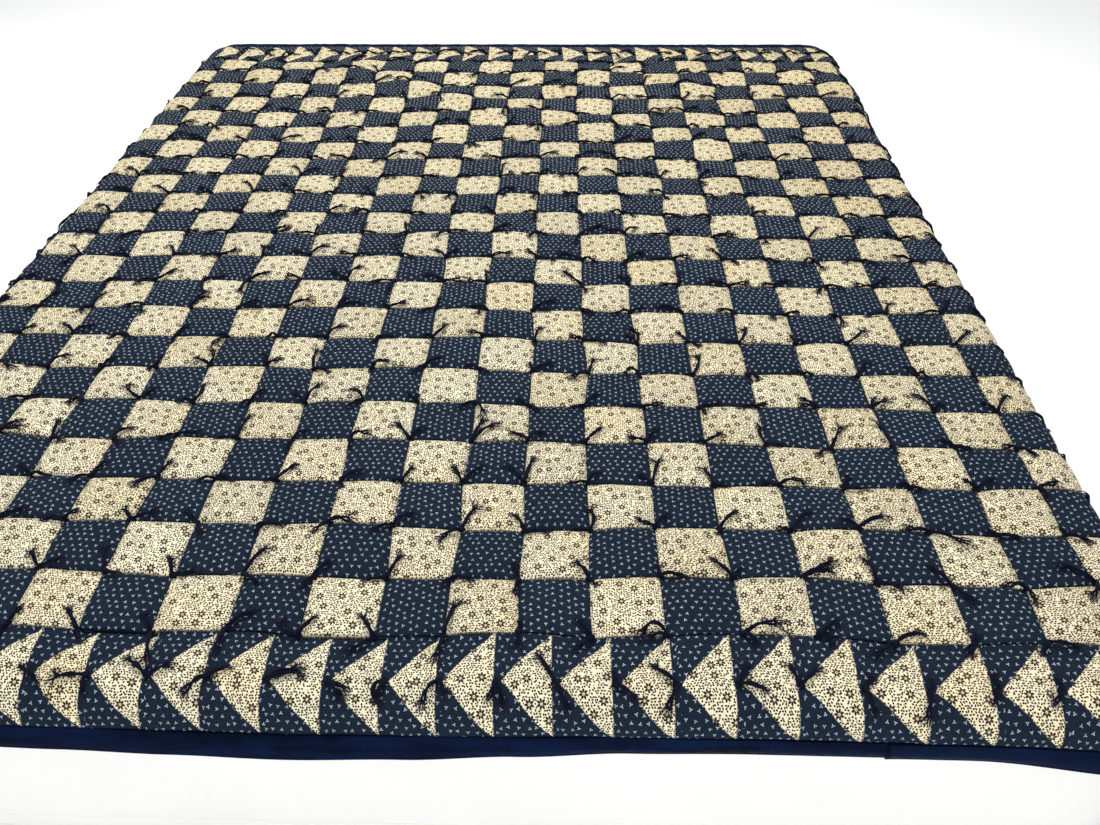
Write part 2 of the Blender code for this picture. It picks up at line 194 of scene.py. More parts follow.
# How far the corners of the checkerboard are sewn off their even grid, in
# hundredths of a patch: a row for each seam from the foot to the head, without
# the two side seams. First across the bed, then along it.
OFF_ACROSS = (
    (0, 1, 0, -5, -6, -3, -2, 0, 2, -2, -2, -2, -1, 2, 2, 2, 5, 6, 8),
    (1, 1, 0, -10, -11, -6, -3, -1, 5, -3, -5, -4, -2, 4, 4, 5, 10, 13, 17),
    (-1, -1, -13, -10, -6, -4, -3, -1, -1, 5, 1, -1, -1, -5, 2, 5, 9, 7, 11),
    (-1, 3, -7, -7, 3, -3, -3, 2, 0, -3, -3, -2, 0, -2, 3, 3, 8, 10, 9),
    (-2, -8, -9, -3, 1, 6, 4, -2, 0, 6, 0, -5, 0, -4, -3, 4, 6, 8, 8),
    (-3, 0, -2, 1, 1, 5, 2, 4, 0, 4, -1, -3, -2, -2, -2, 2, -3, 3, 10),
    (-3, -1, 2, 1, 0, 5, -3, 4, 1, 2, 2, 5, -4, -6, -3, -4, -4, 1, 4),
    (-4, 2, 5, 8, 7, 3, 2, 3, 6, 3, 5, -3, 0, -4, -6, 0, -3, 1, 2),
    (-5, 3, 3, 5, 2, 0, 6, 5, 3, 4, -3, -3, -8, -6, -1, 1, -4, 0, 8),
    (-3, -1, -3, 3, -3, 4, 4, 4, 8, 0, -2, -2, -6, -3, 0, -5, 1, -2, 5),
    (-5, 4, 3, 5, 1, 5, 5, 5, 5, 3, 2, -1, -3, -3, 2, -6, -3, -1, 5),
    (-3, -2, 2, -4, 1, -1, 3, 7, 1, 0, 0, -3, -3, -4, -6, -5, 3, 7, 6),
    (-9, -3, 5, 1, 4, 7, 3, 3, -1, -2, -5, -6, -4, -10, -4, -3, -1, 0, 2),
    (1, -2, 0, 2, 2, 2, 2, 2, 0, 1, -2, -5, -6, 0, -3, -5, -4, -1, 6),
    (-10, 1, -3, 1, 0, 5, 4, 7, -4, 1, 1, -6, -7, 0, -6, -8, -6, 1, 3),
    (-7, -7, 4, 4, 5, 5, 2, 7, -2, -2, -1, 0, -3, -5, -3, -5, -1, -1, 6),
    (-7, 0, 2, 0, 6, 6, 9, 10, -2, -4, -3, 0, -7, -3, 2, -5, -3, -3, 4),
    (-6, -7, 2, -2, 0, 1, 4, 2, 0, 2, 1, -1, -2, 1, -1, 0, -9, 6, 7),
    (-11, -11, -8, 6, 3, 2, 3, 4, -3, 1, -4, -2, -4, -3, -1, 9, 2, 6, 6),
    (-8, -6, -1, -1, -3, 6, 3, -4, -3, -1, 0, -3, 0, 7, 1, -1, 3, 2, 1),
    (-13, -12, -8, -6, -10, -7, 0, -3, -5, 0, -5, 0, -5, -5, 3, 9, 5, 3, 7),
    (-17, -18, -5, 3, -2, -11, -6, -3, -3, -2, 0, 2, 2, 6, 10, 1, 9, 6, 9),
    (-18, -10, -18, 4, -8, 0, -2, -1, 2, 1, 5, 6, 6, -1, 10, 1, 18, 18, 10),
)
OFF_ALONG = (
    (-3, 3, 2, 3, -5, -6, 1, -6, -6, -2, 7, -3, 5, 11, 10, -1, -1, 6, 2),
    (0, -1, -1, 8, 2, -4, 2, 0, -1, -1, 2, 4, 12, 10, 18, 5, 5, 1, 12),
    (0, -3, 9, 4, 7, 4, 2, 8, 4, -3, -6, 1, 9, 8, 5, 13, 8, 2, 6),
    (4, 2, 1, 1, 1, -1, -1, 1, 1, -2, -1, 2, 1, 0, 5, -1, 2, 0, 7),
    (2, 9, -5, -5, 5, -1, 1, 3, 3, -3, 4, -1, 3, 6, -1, -8, -1, 1, -1),
    (1, -1, 0, 3, -6, -2, -6, 6, 2, 4, -6, -4, -4, -3, 0, 2, 4, -5, -6),
    (9, -9, -4, -5, 3, 5, -6, 2, 7, 0, -5, -8, -9, -10, -5, -3, -4, -2, -1),
    (-1, 4, -4, -2, -3, -2, -6, -2, 0, 8, -6, -4, -15, -7, -8, -10, -7, -12, -5),
    (-5, -8, 6, -4, -6, 0, 6, 3, 2, 0, -6, -1, -6, -4, -6, -12, -14, -1, 1),
    (-10, -5, -2, 3, 1, 7, 4, 1, 4, -2, 3, -7, -2, -4, -5, -5, -7, -4, -3),
    (2, -5, 5, 2, 3, 5, 7, 9, 2, 7, 1, -6, -9, 0, 2, 3, 1, -1, 0),
    (-5, 1, 10, 5, 6, -2, 8, -3, 5, 10, 13, 7, 13, 8, -2, -5, -9, -2, -10),
    (-5, 1, 3, -1, 6, 3, 8, 0, 2, 3, 9, 12, 8, -2, -4, 2, -1, -4, -4),
    (3, -6, 0, 7, 4, -1, -9, 2, -2, 4, 6, 1, 4, 9, 1, -3, -7, -1, -4),
    (-10, -2, -1, 0, -5, -9, -7, -6, -4, -4, 9, 5, 5, -7, -8, -2, -12, -10, -4),
    (-4, -3, -8, -1, -6, -10, -10, -2, -6, 0, 7, 13, -2, 5, -6, -10, -4, -2, -1),
    (9, -3, 4, -1, -6, -6, -5, -4, -8, 17, -1, 1, -5, 6, 4, 10, 0, 1, 2),
    (1, -5, -3, -9, -2, -7, 0, 14, 16, 10, 9, 13, 1, -13, 1, 3, 4, 5, 12),
    (7, 0, -6, -5, -4, 4, -3, 6, 13, 2, -3, -13, -11, -3, 12, -13, -1, 7, 8),
    (4, 13, 5, 6, 8, 8, 1, 15, 1, 4, 4, 6, -2, 6, 0, 1, 1, 9, 17),
    (14, 15, 16, 16, 9, 16, 9, -9, 3, -3, 5, 6, -4, -2, 6, 1, 10, 10, 9),
    (22, 20, 2, -5, 16, -1, 18, 10, 2, 3, 19, -8, 7, 5, 7, 15, 17, 6, 8),
    (20, 2, -7, -2, 13, 14, -7, 2, 1, 7, 8, -1, -5, 0, 19, 3, 20, -3, 11),
)
DRIFT_P, DRIFT_Q = np.zeros((COLS + 1, ROWS + 1)), np.zeros((COLS + 1, ROWS + 1))
DRIFT_P[1:-1] = np.array(OFF_ACROSS).T * 0.01 * PATCH
DRIFT_Q[1:-1] = np.array(OFF_ALONG).T * 0.01 * PATCH
DRIFT_Q[0], DRIFT_Q[-1] = 0.7 * DRIFT_Q[1], 0.7 * DRIFT_Q[-2]


def settle(p, q):
    """Where hand-pieced pattern points end up: each corner strays a little."""
    p, q = np.broadcast_arrays(np.asarray(p, float), np.asarray(q, float))
    gx, gy = np.clip(p / PATCH, 0, COLS), np.clip(q / PATCH, 0, ROWS)
    ix, iy = np.minimum(gx.astype(int), COLS - 1), np.minimum(gy.astype(int), ROWS - 1)
    fx, fy = gx - ix, gy - iy
    bow_x, bow_y = fx + 0.10 * np.sin(2 * math.pi * fx) / 2, fy + 0.10 * np.sin(2 * math.pi * fy) / 2
    bow_x, bow_y = np.clip(bow_x, 0, 1), np.clip(bow_y, 0, 1)

    def of(table):
        return (
            (table[ix, iy] * (1 - bow_x) + table[ix + 1, iy] * bow_x) * (1 - bow_y)
            + (table[ix, iy + 1] * (1 - bow_x) + table[ix + 1, iy + 1] * bow_x) * bow_y
        )

    fade = 1.0 - smooth(outside(p, q) / BORDER)
    sway = 0.0007
    return (
        p + of(DRIFT_P) * fade + sway * fade * noise(p, q, 0.031, 3),
        q + of(DRIFT_Q) * fade + sway * fade * noise(p, q, 0.031, 4),
    )


def fold_height(u, v):
    height = np.zeros(np.broadcast(u, v).shape)
    for from_u, from_v, to_u, to_v, top, half in FOLDS:
        ax, ay, bx, by = (PATCH * c for c in (from_u, from_v, to_u, to_v))
        ex, ey = bx - ax, by - ay
        t = np.clip(((u - ax) * ex + (v - ay) * ey) / (ex * ex + ey * ey), 0.0, 1.0)
        away = np.hypot(u - ax - t * ex, v - ay - t * ey) / (half * PATCH)
        height = np.maximum(height, top * np.exp(-away * away))
    return height


def goose_drift(p):
    """How far the foot border's triangles are sewn off their even pitch."""
    return -0.0115 * np.exp(-(((p / PATCH - 13.2) / 3.6) ** 4))


def tie_offsets(p, q):
    """Offset from the nearest tie and a number that tells that tie from others."""
    def row(first, pitch, count, along):
        k = np.clip(np.round((along - first) / pitch), 0, count - 1)
        return along - first - k * pitch, k

    i, j = np.clip(np.round(p / PATCH), 0, COLS), np.clip(np.round(q / PATCH), 0, ROWS)
    found = [(p - i * PATCH, q - j * PATCH, i * 37 + j)]
    a, k = row(TIE_FIRST - TIE_BEFORE, TIE_PITCH, TIES, p - goose_drift(p))
    found.append((a, q + 0.5 * BORDER, 2000 + k))
    a, k = row(HEAD_FIRST, HEAD_PITCH, TIES, p)
    found.append((a, q - LENGTH - 0.5 * BORDER, 3000 + k))
    a, k = row(SIDE_FIRST, SIDE_PITCH, SIDE_TIES, q)
    found.append((p + 0.5 * BORDER, a, 4000 + k))
    a, k = row(LENGTH - SIDE_FIRST - (SIDE_TIES - 1) * SIDE_PITCH, SIDE_PITCH, SIDE_TIES, q)
    found.append((p - WIDTH - 0.5 * BORDER, a, 5000 + k))
    best = np.argmin(np.stack([x * x + y * y for x, y, _ in found]), axis=0)
    return tuple(np.choose(best, [f[n] for f in found]) for n in range(3))


crease_rng = np.random.default_rng(77)
# one soft crease in some patches: strength, place along the patch, lean, half width
CREASE = np.stack((
    np.where(crease_rng.random((COLS, ROWS)) < 0.55, crease_rng.uniform(-0.0021, 0.0024, (COLS, ROWS)), 0.0),
    crease_rng.uniform(0.22, 0.78, (COLS, ROWS)),
    crease_rng.normal(0.0, 0.35, (COLS, ROWS)),
    crease_rng.uniform(0.0035, 0.0075, (COLS, ROWS)),
    (crease_rng.random((COLS, ROWS)) < 0.3).astype(float),
))


def crease_height(p, q):
    ix = np.clip(np.floor(p / PATCH).astype(int), 0, COLS - 1)
    iy = np.clip(np.floor(q / PATCH).astype(int), 0, ROWS - 1)
    a, b = p / PATCH - ix, q / PATCH - iy
    strength, at, lean, wide, flat = CREASE[:, ix, iy]
    across, along = np.where(flat > 0.5, b, a), np.where(flat > 0.5, a, b)
    away = (across - at - lean * (along - 0.5)) * PATCH / wide
    return strength * np.exp(-away * away) * np.clip(np.sin(math.pi * np.clip(a, 0, 1)) * np.sin(math.pi * np.clip(b, 0, 1)), 0, 1) ** 0.5


def goose_place(along, across):
    """Share of the pitch from the point, and distance from the strip's middle
    as a share of half its width. across runs over the strip."""
    share = along - np.floor(along)
    return share, np.abs(2.0 * across / BORDER - 1.0)


def goose_seams(share, away, pitch):
    """Distance to the nearest seam of a pieced triangle."""
    slant = np.abs(away - share / GOOSE) * (0.5 * BORDER) * 0.8
    base = np.abs(share - GOOSE) * pitch
    return np.minimum(np.where(share < GOOSE, slant, 1.0), base)


def top_height(p, q):
    """Height of the quilt's face above its tie level."""
    p, q = np.broadcast_arrays(np.asarray(p, float), np.asarray(q, float))
    e = outside(p, q)
    tx, ty, which = tie_offsets(p, q)
    r = np.hypot(tx, ty)
    even = 1.0 + 0.22 * noise(p, q, 0.17, 5) + 0.12 * noise(p, q, 0.06, 6)
    pulled = 1.0 - np.exp(-((r / DIMPLE) ** 1.7))

    # patches lie nearly level inside their seams, which fall steeper across the bed
    dx, dy = np.abs(p - np.round(p / PATCH) * PATCH), np.abs(q - np.round(q / PATCH) * PATCH)
    inside = e <= 1e-9
    level = (1.0 - np.exp(-((dx / SHOULDER) ** 1.3))) * (1.0 - np.exp(-((dy / (0.85 * SHOULDER)) ** 1.3)))
    patch_rise = SEAM_RISE * pulled + PLATEAU * level * (0.45 + 0.55 * pulled)
    rim = np.minimum(np.abs(e), np.abs(e - BORDER))
    strip_rise = SEAM_RISE * pulled + BORDER_RISE * pulled * (1.0 - np.exp(-((rim / (1.3 * SHOULDER)) ** 1.3)))
    puff = even * np.where(inside, patch_rise, strip_rise)
    turn = np.arctan2(ty, tx)
    lobes = 4.0 + np.mod(which, 3.0)
    puff += PUCKER * np.sin(lobes * turn + which * 1.7) * (r / 0.007) * np.exp(1.0 - r / 0.007) * 0.75

    # the needle lines of the seams
    ditch = 0.0
    for d, depth in ((dx, 0.0011), (dy, 0.0016)):
        ditch = np.maximum(ditch, np.where(inside, depth * np.exp(-((d / 0.0021) ** 2)), 0.0))
    ditch = np.maximum(ditch, np.where(inside, 0.0, 0.0013 * np.exp(-((rim / 0.0022) ** 2))))

    # seams of the pieced triangles
    foot, head = (-q >= e - 1e-12) & ~inside, (q - LENGTH >= e - 1e-12) & ~inside
    left = (-p >= e - 1e-12) & ~inside & ~foot & ~head
    right = ~inside & ~foot & ~head & ~left
    strip = np.clip(e, 0.0, BORDER)
    seam = np.ones(p.shape)
    for here, along, pitch in (
        (foot, (p - goose_drift(p) - TIE_FIRST) / TIE_PITCH, TIE_PITCH),
        (head, (HEAD_FIRST - p) / HEAD_PITCH, HEAD_PITCH),
        (left, (SIDE_FIRST - q) / SIDE_PITCH, SIDE_PITCH),
        (right, (q - LENGTH + SIDE_FIRST + (SIDE_TIES - 1) * SIDE_PITCH) / SIDE_PITCH, SIDE_PITCH),
    ):
        share, away = goose_place(along, strip)
        seam = np.where(here, goose_seams(share, away, pitch), seam)
    pieced = (e > 0.0) & (e < BORDER)
    ditch = np.maximum(ditch, np.where(pieced, 0.0009 * np.exp(-((seam / 0.0028) ** 2)), 0.0))

    soft = np.minimum(1.0, r / 0.02)
    body = puff * np.where(e > BORDER, 0.25, 1.0) - ditch * np.minimum(1.0, 0.35 + r / 0.02)
    body = body + soft * (0.0007 * noise(p, q, 0.034, 7) + 0.0014 * noise(p, q, 0.13, 8))
    body = body + np.where(inside, crease_height(p, q), 0.0)
    body = body + fold_height(p, q)

    # the folded binding: proud, puckered on the slant, rounded at the edge
    t = np.clip((e - BORDER) / BINDING, 0.0, 1.0)
    along = np.where(foot | head, p, q)
    slanted = noise(along + 0.7 * e, e * 0.35, 0.011, 9) + 0.6 * noise(along - 0.5 * e, e * 0.3, 0.026, 10)
    band = 0.0008 + 0.0021 * np.sin(math.pi * np.minimum(1.12 * t, 1.0)) + 0.0007 * slanted * np.sin(math.pi * np.clip(t, 0, 1)) ** 0.6
    band = band - 0.0024 * smooth((t - 0.62) / 0.38)
    lapped = foot & (p > BINDING_JOIN)
    band = band + np.where(lapped, 0.0012 + 0.0006 * np.exp(-(p - BINDING_JOIN) / 0.01), 0.0)
    band = band + fold_height(p, q)
    return np.where(e > BORDER, band, np.maximum(body, -0.0012))


def under_depth(p, q):
    t = (outside(p, q) - BORDER) / BINDING
    return TIED - 0.0014 * smooth((t - 0.6) / 0.4)


def surface(p, q, lift=0.0):
    """Places on the quilt's face, this far above it, and outward normals."""
    place, normal = lay(*settle(p, q))
    return place + normal * (top_height(p, q) + lift)[..., None], normal


# ------------------------------------------------------------------- meshes

def link(name, mesh):
    made = bpy.data.objects.new(name, mesh)
    bpy.context.scene.collection.objects.link(made)
    return made


def slab(name, ps, qs, every, finishes, slot_of=None):
    """A closed sheet over the pattern lines ps and qs. Its lining side keeps only
    some lines: `every` is how many are passed over between two kept ones."""
    ps, qs = np.asarray(ps, float), np.asarray(qs, float)
    columns, rows = len(ps), len(qs)
    P, Q = np.meshgrid(ps, qs)
    top, _ = surface(P, Q)
    place, normal = lay(*settle(P, Q))
    under = place - normal * under_depth(P, Q)[..., None]
    keep_c = sorted(set(range(0, columns, every)) | {columns - 1})
    keep_r = sorted(set(range(0, rows, every)) | {rows - 1})
    number = -np.ones((rows, columns), int)
    used = np.zeros((rows, columns), bool)
    used[np.ix_(keep_r, keep_c)] = True
    used[0, :] = used[-1, :] = used[:, 0] = used[:, -1] = True
    number[used] = rows * columns + np.arange(used.sum())
    points = np.concatenate((top.reshape(-1, 3), under[used]))
    flat = np.concatenate((np.stack((P, Q), -1).reshape(-1, 2), np.stack((P, Q), -1)[used]))
    index = np.arange(rows * columns).reshape(rows, columns)
    quads = np.stack((index[:-1, :-1], index[:-1, 1:], index[1:, 1:], index[1:, :-1]), -1).reshape(-1, 4)
    faces = quads.tolist()
    middle_p, middle_q = 0.5 * (ps[:-1] + ps[1:]), 0.5 * (qs[:-1] + qs[1:])
    slots = [0] * len(faces) if slot_of is None else slot_of(*np.meshgrid(middle_p, middle_q)).reshape(-1).tolist()
    shown = len(faces)
    for j0, j1 in zip(keep_r[:-1], keep_r[1:]):
        for i0, i1 in zip(keep_c[:-1], keep_c[1:]):
            ring = [number[j0, i] for i in range(i0, i1)] if j0 == 0 else [number[j0, i0]]
            ring += [number[j, i1] for j in range(j0, j1)] if i1 == columns - 1 else [number[j0, i1]]
            ring += [number[j1, i] for i in range(i1, i0, -1)] if j1 == rows - 1 else [number[j1, i1]]
            ring += [number[j, i0] for j in range(j1, j0, -1)] if i0 == 0 else [number[j1, i0]]
            faces.append([int(n) for n in reversed(ring)])
    for i in range(columns - 1):
        faces.append([int(n) for n in (index[0, i], number[0, i], number[0, i + 1], index[0, i + 1])])
        faces.append([int(n) for n in (index[-1, i], index[-1, i + 1], number[-1, i + 1], number[-1, i])])
    for j in range(rows - 1):
        faces.append([int(n) for n in (index[j, 0], index[j + 1, 0], number[j + 1, 0], number[j, 0])])
        faces.append([int(n) for n in (index[j, -1], number[j, -1], number[j + 1, -1], index[j + 1, -1])])
    slots += [len(finishes) - 1] * (len(faces) - shown)
    mesh = bpy.data.meshes.new(name)
    mesh.from_pydata(points.tolist(), [], faces)
    mesh.shade_smooth()
    for m in finishes:
        mesh.materials.append(m)
    mesh.polygons.foreach_set("material_index", slots)
    sharp = mesh.attributes.new("sharp_face", "BOOLEAN", "FACE") if "sharp_face" not in mesh.attributes else mesh.attributes["sharp_face"]
    sharp.data.foreach_set("value", [False] * shown + [True] * (len(faces) - shown))
    pattern = mesh.attributes.new("pattern", "FLOAT_VECTOR", "POINT")
    pattern.data.foreach_set("vector", np.column_stack((flat, np.zeros(len(flat)))).astype(np.float32).ravel())
    mesh.update()
    return link(name, mesh)


def tubes(name, paths, normals, radii, tips, sides, finish):
    """One mesh of many tubes. paths and normals are (tubes, points, 3), radii
    and tips (tubes, points)."""
    count, steps = radii.shape
    run = np.gradient(paths, axis=1)
    run /= np.maximum(np.linalg.norm(run, axis=2, keepdims=True), 1e-9)
    across = np.cross(normals, run)
    across /= np.maximum(np.linalg.norm(across, axis=2, keepdims=True), 1e-9)
    rise = np.cross(run, across)
    a = np.arange(sides) * 2.0 * math.pi / sides
    ring = (
        across[:, :, None, :] * np.cos(a)[None, None, :, None]
        + rise[:, :, None, :] * np.sin(a)[None, None, :, None]
    )
    points = paths[:, :, None, :] + ring * radii[:, :, None, None]
    index = np.arange(count * steps * sides).reshape(count, steps, sides)
    after = np.roll(index, -1, axis=2)
    walls = np.stack((index[:, :-1], after[:, :-1], after[:, 1:], index[:, 1:]), -1).reshape(-1, 4)
    ends = np.concatenate((index[:, 0, ::-1], index[:, -1, :]))
    return points.reshape(-1, 3), walls, ends, np.repeat(tips.reshape(-1), sides)


def joined(name, parts, finish):
    points, faces, tips, start = [], [], [], 0
    for p, walls, ends, tip in parts:
        points.append(p)
        tips.append(tip)
        faces += (walls + start).tolist() + (ends + start).tolist()
        start += len(p)
    mesh = bpy.data.meshes.new(name)
    mesh.from_pydata(np.concatenate(points).tolist(), [], faces)
    mesh.shade_smooth()
    tip = mesh.attributes.new("tip", "FLOAT", "POINT")
    tip.data.foreach_set("value", np.concatenate(tips).astype(np.float32))
    mesh.materials.append(finish)
    mesh.update()
    return link(name, mesh)


# ---------------------------------------------------------------- materials

class Graph:
    """Short ways to write a material's nodes."""

    def __init__(self, name):
        self.material = bpy.data.materials.new(name)
        self.material.use_nodes = True
        self.tree = self.material.node_tree
        self.shader = self.tree.nodes["Principled BSDF"]

    def put(self, socket, value):
        if isinstance(value, bpy.types.NodeSocket):
            self.tree.links.new(value, socket)
        elif isinstance(value, (tuple, list)) and len(value) == 3 and socket.type == "RGBA":
            socket.default_value = (*value, 1.0)
        else:
            socket.default_value = value

    def node(self, kind, **settings):
        made = self.tree.nodes.new(kind)
        for k, v in settings.items():
            setattr(made, k, v)
        return made

    def math(self, operation, a, b=None, c=None, clamp=False):
        made = self.node("ShaderNodeMath", operation=operation, use_clamp=clamp)
        for n, value in enumerate((a, b, c)):
            if value is not None:
                self.put(made.inputs[n], value)
        return made.outputs[0]

    def vector(self, operation, a, b=None, scale=None):
        made = self.node("ShaderNodeVectorMath", operation=operation)
        self.put(made.inputs[0], a)
        if b is not None:
            self.put(made.inputs[1], b)
        if scale is not None:
            self.put(made.inputs["Scale"], scale)
        return made.outputs["Value"] if operation in ("LENGTH", "DOT_PRODUCT", "DISTANCE") else made.outputs["Vector"]

    def split(self, value):
        made = self.node("ShaderNodeSeparateXYZ")
        self.put(made.inputs[0], value)
        return made.outputs

    def join(self, x, y, z=0.0):
        made = self.node("ShaderNodeCombineXYZ")
        for n, value in enumerate((x, y, z)):
            self.put(made.inputs[n], value)
        return made.outputs[0]

    def mix(self, share, a, b):
        made = self.node("ShaderNodeMix", data_type="RGBA")
        self.put(made.inputs["Factor"], share)
        self.put(made.inputs[6], a)
        self.put(made.inputs[7], b)
        return made.outputs[2]

    def range(self, value, low, high, to_low=0.0, to_high=1.0, kind="SMOOTHSTEP"):
        made = self.node("ShaderNodeMapRange", interpolation_type=kind)
        for name, v in (("Value", value), ("From Min", low), ("From Max", high), ("To Min", to_low), ("To Max", to_high)):
            self.put(made.inputs[name], v)
        return made.outputs["Result"]

    def noise(self, where, scale, detail=2.0, rough=0.5):
        made = self.node("ShaderNodeTexNoise", noise_dimensions="3D")
        self.put(made.inputs["Vector"], where)
        made.inputs["Scale"].default_value = scale
        made.inputs["Detail"].default_value = detail
        made.inputs["Roughness"].default_value = rough
        return made.outputs["Fac"]

    def white(self, where):
        made = self.node("ShaderNodeTexWhiteNoise", noise_dimensions="3D")
        self.put(made.inputs["Vector"], where)
        return made.outputs

    def attribute(self, name):
        return self.node("ShaderNodeAttribute", attribute_name=name).outputs

    def bump(self, height, distance, strength, under=None):
        made = self.node("ShaderNodeBump")
        self.put(made.inputs["Height"], height)
        made.inputs["Distance"].default_value = distance
        made.inputs["Strength"].default_value = strength
        if under is not None:
            self.put(made.inputs["Normal"], under)
        return made.outputs[0]

    def finish(self, colour, roughness, normal=None, sheen=0.0, tint=(1.0, 1.0, 1.0), specular=0.3):
        self.put(self.shader.inputs["Base Color"], colour)
        self.put(self.shader.inputs["Roughness"], roughness)
        if normal is not None:
            self.put(self.shader.inputs["Normal"], normal)
        self.shader.inputs["Sheen Weight"].default_value = sheen
        self.shader.inputs["Sheen Tint"].default_value = (*tint, 1.0)
        self.shader.inputs["Specular IOR Level"].default_value = specular
        return self.material


def linear(r, g, b):
    """An 8-bit display colour as the shader's linear one."""
    return tuple(((c / 255.0 + 0.055) / 1.055) ** 2.4 if c > 10 else c / 255.0 / 12.92 for c in (r, g, b))


NAVY = linear(35, 45, 61)
NAVY_DEEP = linear(18, 27, 38)
# a greyer navy: painted sheen on the far cloth
NAVY_FAR_SHEEN = linear(35, 39, 46)
SPRIG = linear(182, 196, 208)
CREAM = linear(237, 229, 199)
CREAM_WARM = linear(238, 216, 164)
FLOWER = linear(52, 37, 30)
BROWN = linear(38, 28, 24)
BROWN_SOFT = linear(60, 48, 38)


def cells(g, where, step_x, step_y, loose):
    """Staggered cells: the offset from each one's middle, in metres, and its
    random colour."""
    x, y, _ = g.split(where)
    row = g.math("DIVIDE", y, step_y)
    column = g.math("MULTIPLY_ADD", row, 0.5, g.math("DIVIDE", x, step_x))
    skewed = g.join(column, row)
    made = g.node("ShaderNodeTexVoronoi", voronoi_dimensions="2D", feature="F1")
    g.put(made.inputs["Vector"], skewed)
    made.inputs["Scale"].default_value = 1.0
    made.inputs["Randomness"].default_value = loose
    away = g.vector("SUBTRACT", skewed, made.outputs["Position"])
    ax, ay, _ = g.split(away)
    dx = g.math("MULTIPLY", g.math("MULTIPLY_ADD", ay, -0.5, ax), step_x)
    dy = g.math("MULTIPLY", ay, step_y)
    return dx, dy, g.split(made.outputs["Color"])


def petals(g, dx, dy, turn, count, out, long, wide):
    """1 inside `count` ovals set round the middle."""
    angle = g.math("ADD", g.math("ARCTAN2", dy, dx), turn)
    part = g.math("FRACT", g.math("MULTIPLY_ADD", angle, count / (2.0 * math.pi), 40.5))
    bent = g.math("MULTIPLY", g.math("SUBTRACT", part, 0.5), 2.0 * math.pi / count)
    r = g.math("SQRT", g.math("ADD", g.math("MULTIPLY", dx, dx), g.math("MULTIPLY", dy, dy)))
    x = g.math("DIVIDE", g.math("SUBTRACT", g.math("MULTIPLY", r, g.math("COSINE", bent)), out), long)
    y = g.math("DIVIDE", g.math("MULTIPLY", r, g.math("SINE", bent)), wide)
    d = g.math("ADD", g.math("MULTIPLY", x, x), g.math("MULTIPLY", y, y))
    return g.range(d, 0.75, 1.15, 1.0, 0.0), r


def sprigs(g, where, far_sheen_share):
    """The navy cloth: small pale three-petalled sprigs, turned greyer towards the head by a painted sheen."""
    dx, dy, dice = cells(g, where, 0.0090, 0.0078, 0.34)
    turn = g.math("MULTIPLY", dice[0], 2.0 * math.pi)
    petal, r = petals(g, dx, dy, turn, 3, 0.00102, 0.00092, 0.00051)
    worn = g.range(dice[1], 0.0, 1.0, 0.66, 1.0, "LINEAR")
    base = g.mix(g.noise(where, 260.0, 3.0, 0.6), NAVY_DEEP, NAVY)
    # painted sheen mixed in
    base = g.mix(far_sheen_share, base, NAVY_FAR_SHEEN)
    return g.mix(g.math("MULTIPLY", petal, worn), base, SPRIG)


def blossoms(g, where, wide):
    """The cream cloth: small brown leaves all over, with flowers among them, tinted as much as wide says by painted
    warm light.
    """
    fx, fy, dice = cells(g, where, 0.0195, 0.0170, 0.60)
    turn = g.math("MULTIPLY", dice[0], 2.0 * math.pi)
    flower, r = petals(g, fx, fy, turn, 7, 0.00300, 0.00192, 0.00116)
    flower = g.math("MAXIMUM", flower, g.range(r, 0.0006, 0.0010, 0.5, 0.0))
    lx, ly, leaf_dice = cells(g, where, 0.0029, 0.00258, 0.55)
    leaf_turn = g.math("MULTIPLY", leaf_dice[0], 2.0 * math.pi)
    ax = g.math("SUBTRACT", g.math("MULTIPLY", lx, g.math("COSINE", leaf_turn)), g.math("MULTIPLY", ly, g.math("SINE", leaf_turn)))
    ay = g.math("ADD", g.math("MULTIPLY", lx, g.math("SINE", leaf_turn)), g.math("MULTIPLY", ly, g.math("COSINE", leaf_turn)))
    ax, ay = g.math("DIVIDE", ax, 0.00126), g.math("DIVIDE", ay, 0.00085)
    leaf = g.range(g.math("ADD", g.math("MULTIPLY", ax, ax), g.math("MULTIPLY", ay, ay)), 0.70, 1.15, 1.0, 0.0)
    there = g.range(leaf_dice[1], 0.07, 0.10)
    clear = g.range(r, 0.0048, 0.0055)
    leaf = g.math("MULTIPLY", g.math("MULTIPLY", leaf, there), clear)
    base = g.mix(g.math("MULTIPLY", g.range(g.noise(where, 9.0, 3.0, 0.5), 0.40, 0.75), 0.45), CREAM, CREAM_WARM)
    # painted warm light
    base = g.mix(wide, base, CREAM_WARM)
    leaves = g.mix(leaf_dice[2], BROWN, BROWN_SOFT)
    return g.mix(flower, g.mix(leaf, base, leaves), FLOWER)


def painted_warm_light(g, x, y):
    """How much painted warm light tints the cream cloth at the head and on the right."""
    return g.math("ADD", g.range(y, 0.15 * LENGTH, LENGTH, 0.0, 0.36), g.range(x, 0.5 * WIDTH, WIDTH, 0.0, 0.20))


def weave(g, where, x, y):
    """Threads, small crumples, and gathers that run away from each seam."""
    fine = g.noise(g.vector("MULTIPLY", where, (1500.0, 1500.0, 1.0)), 1.0, 1.0)
    crumple = g.noise(where, 55.0, 3.0, 0.55)

    def seam_gathers(along, across):
        near = g.math("ABSOLUTE", g.math("SUBTRACT", g.math("FRACT", g.math("ADD", g.math("DIVIDE", across, PATCH), 20.5)), 0.5))
        near = g.range(near, 0.0, 0.16, 1.0, 0.0)
        lines = g.noise(g.join(g.math("MULTIPLY", along, 150.0), g.math("MULTIPLY", across, 26.0), 3.0), 1.0, 1.0)
        return g.math("MULTIPLY", near, lines)

    gathers = g.math("ADD", seam_gathers(x, y), seam_gathers(y, x))
    normal = g.bump(crumple, 0.0020, 0.75)
    normal = g.bump(gathers, 0.0014, 0.7, normal)
    return g.bump(fine, 0.0001, 0.5, normal)


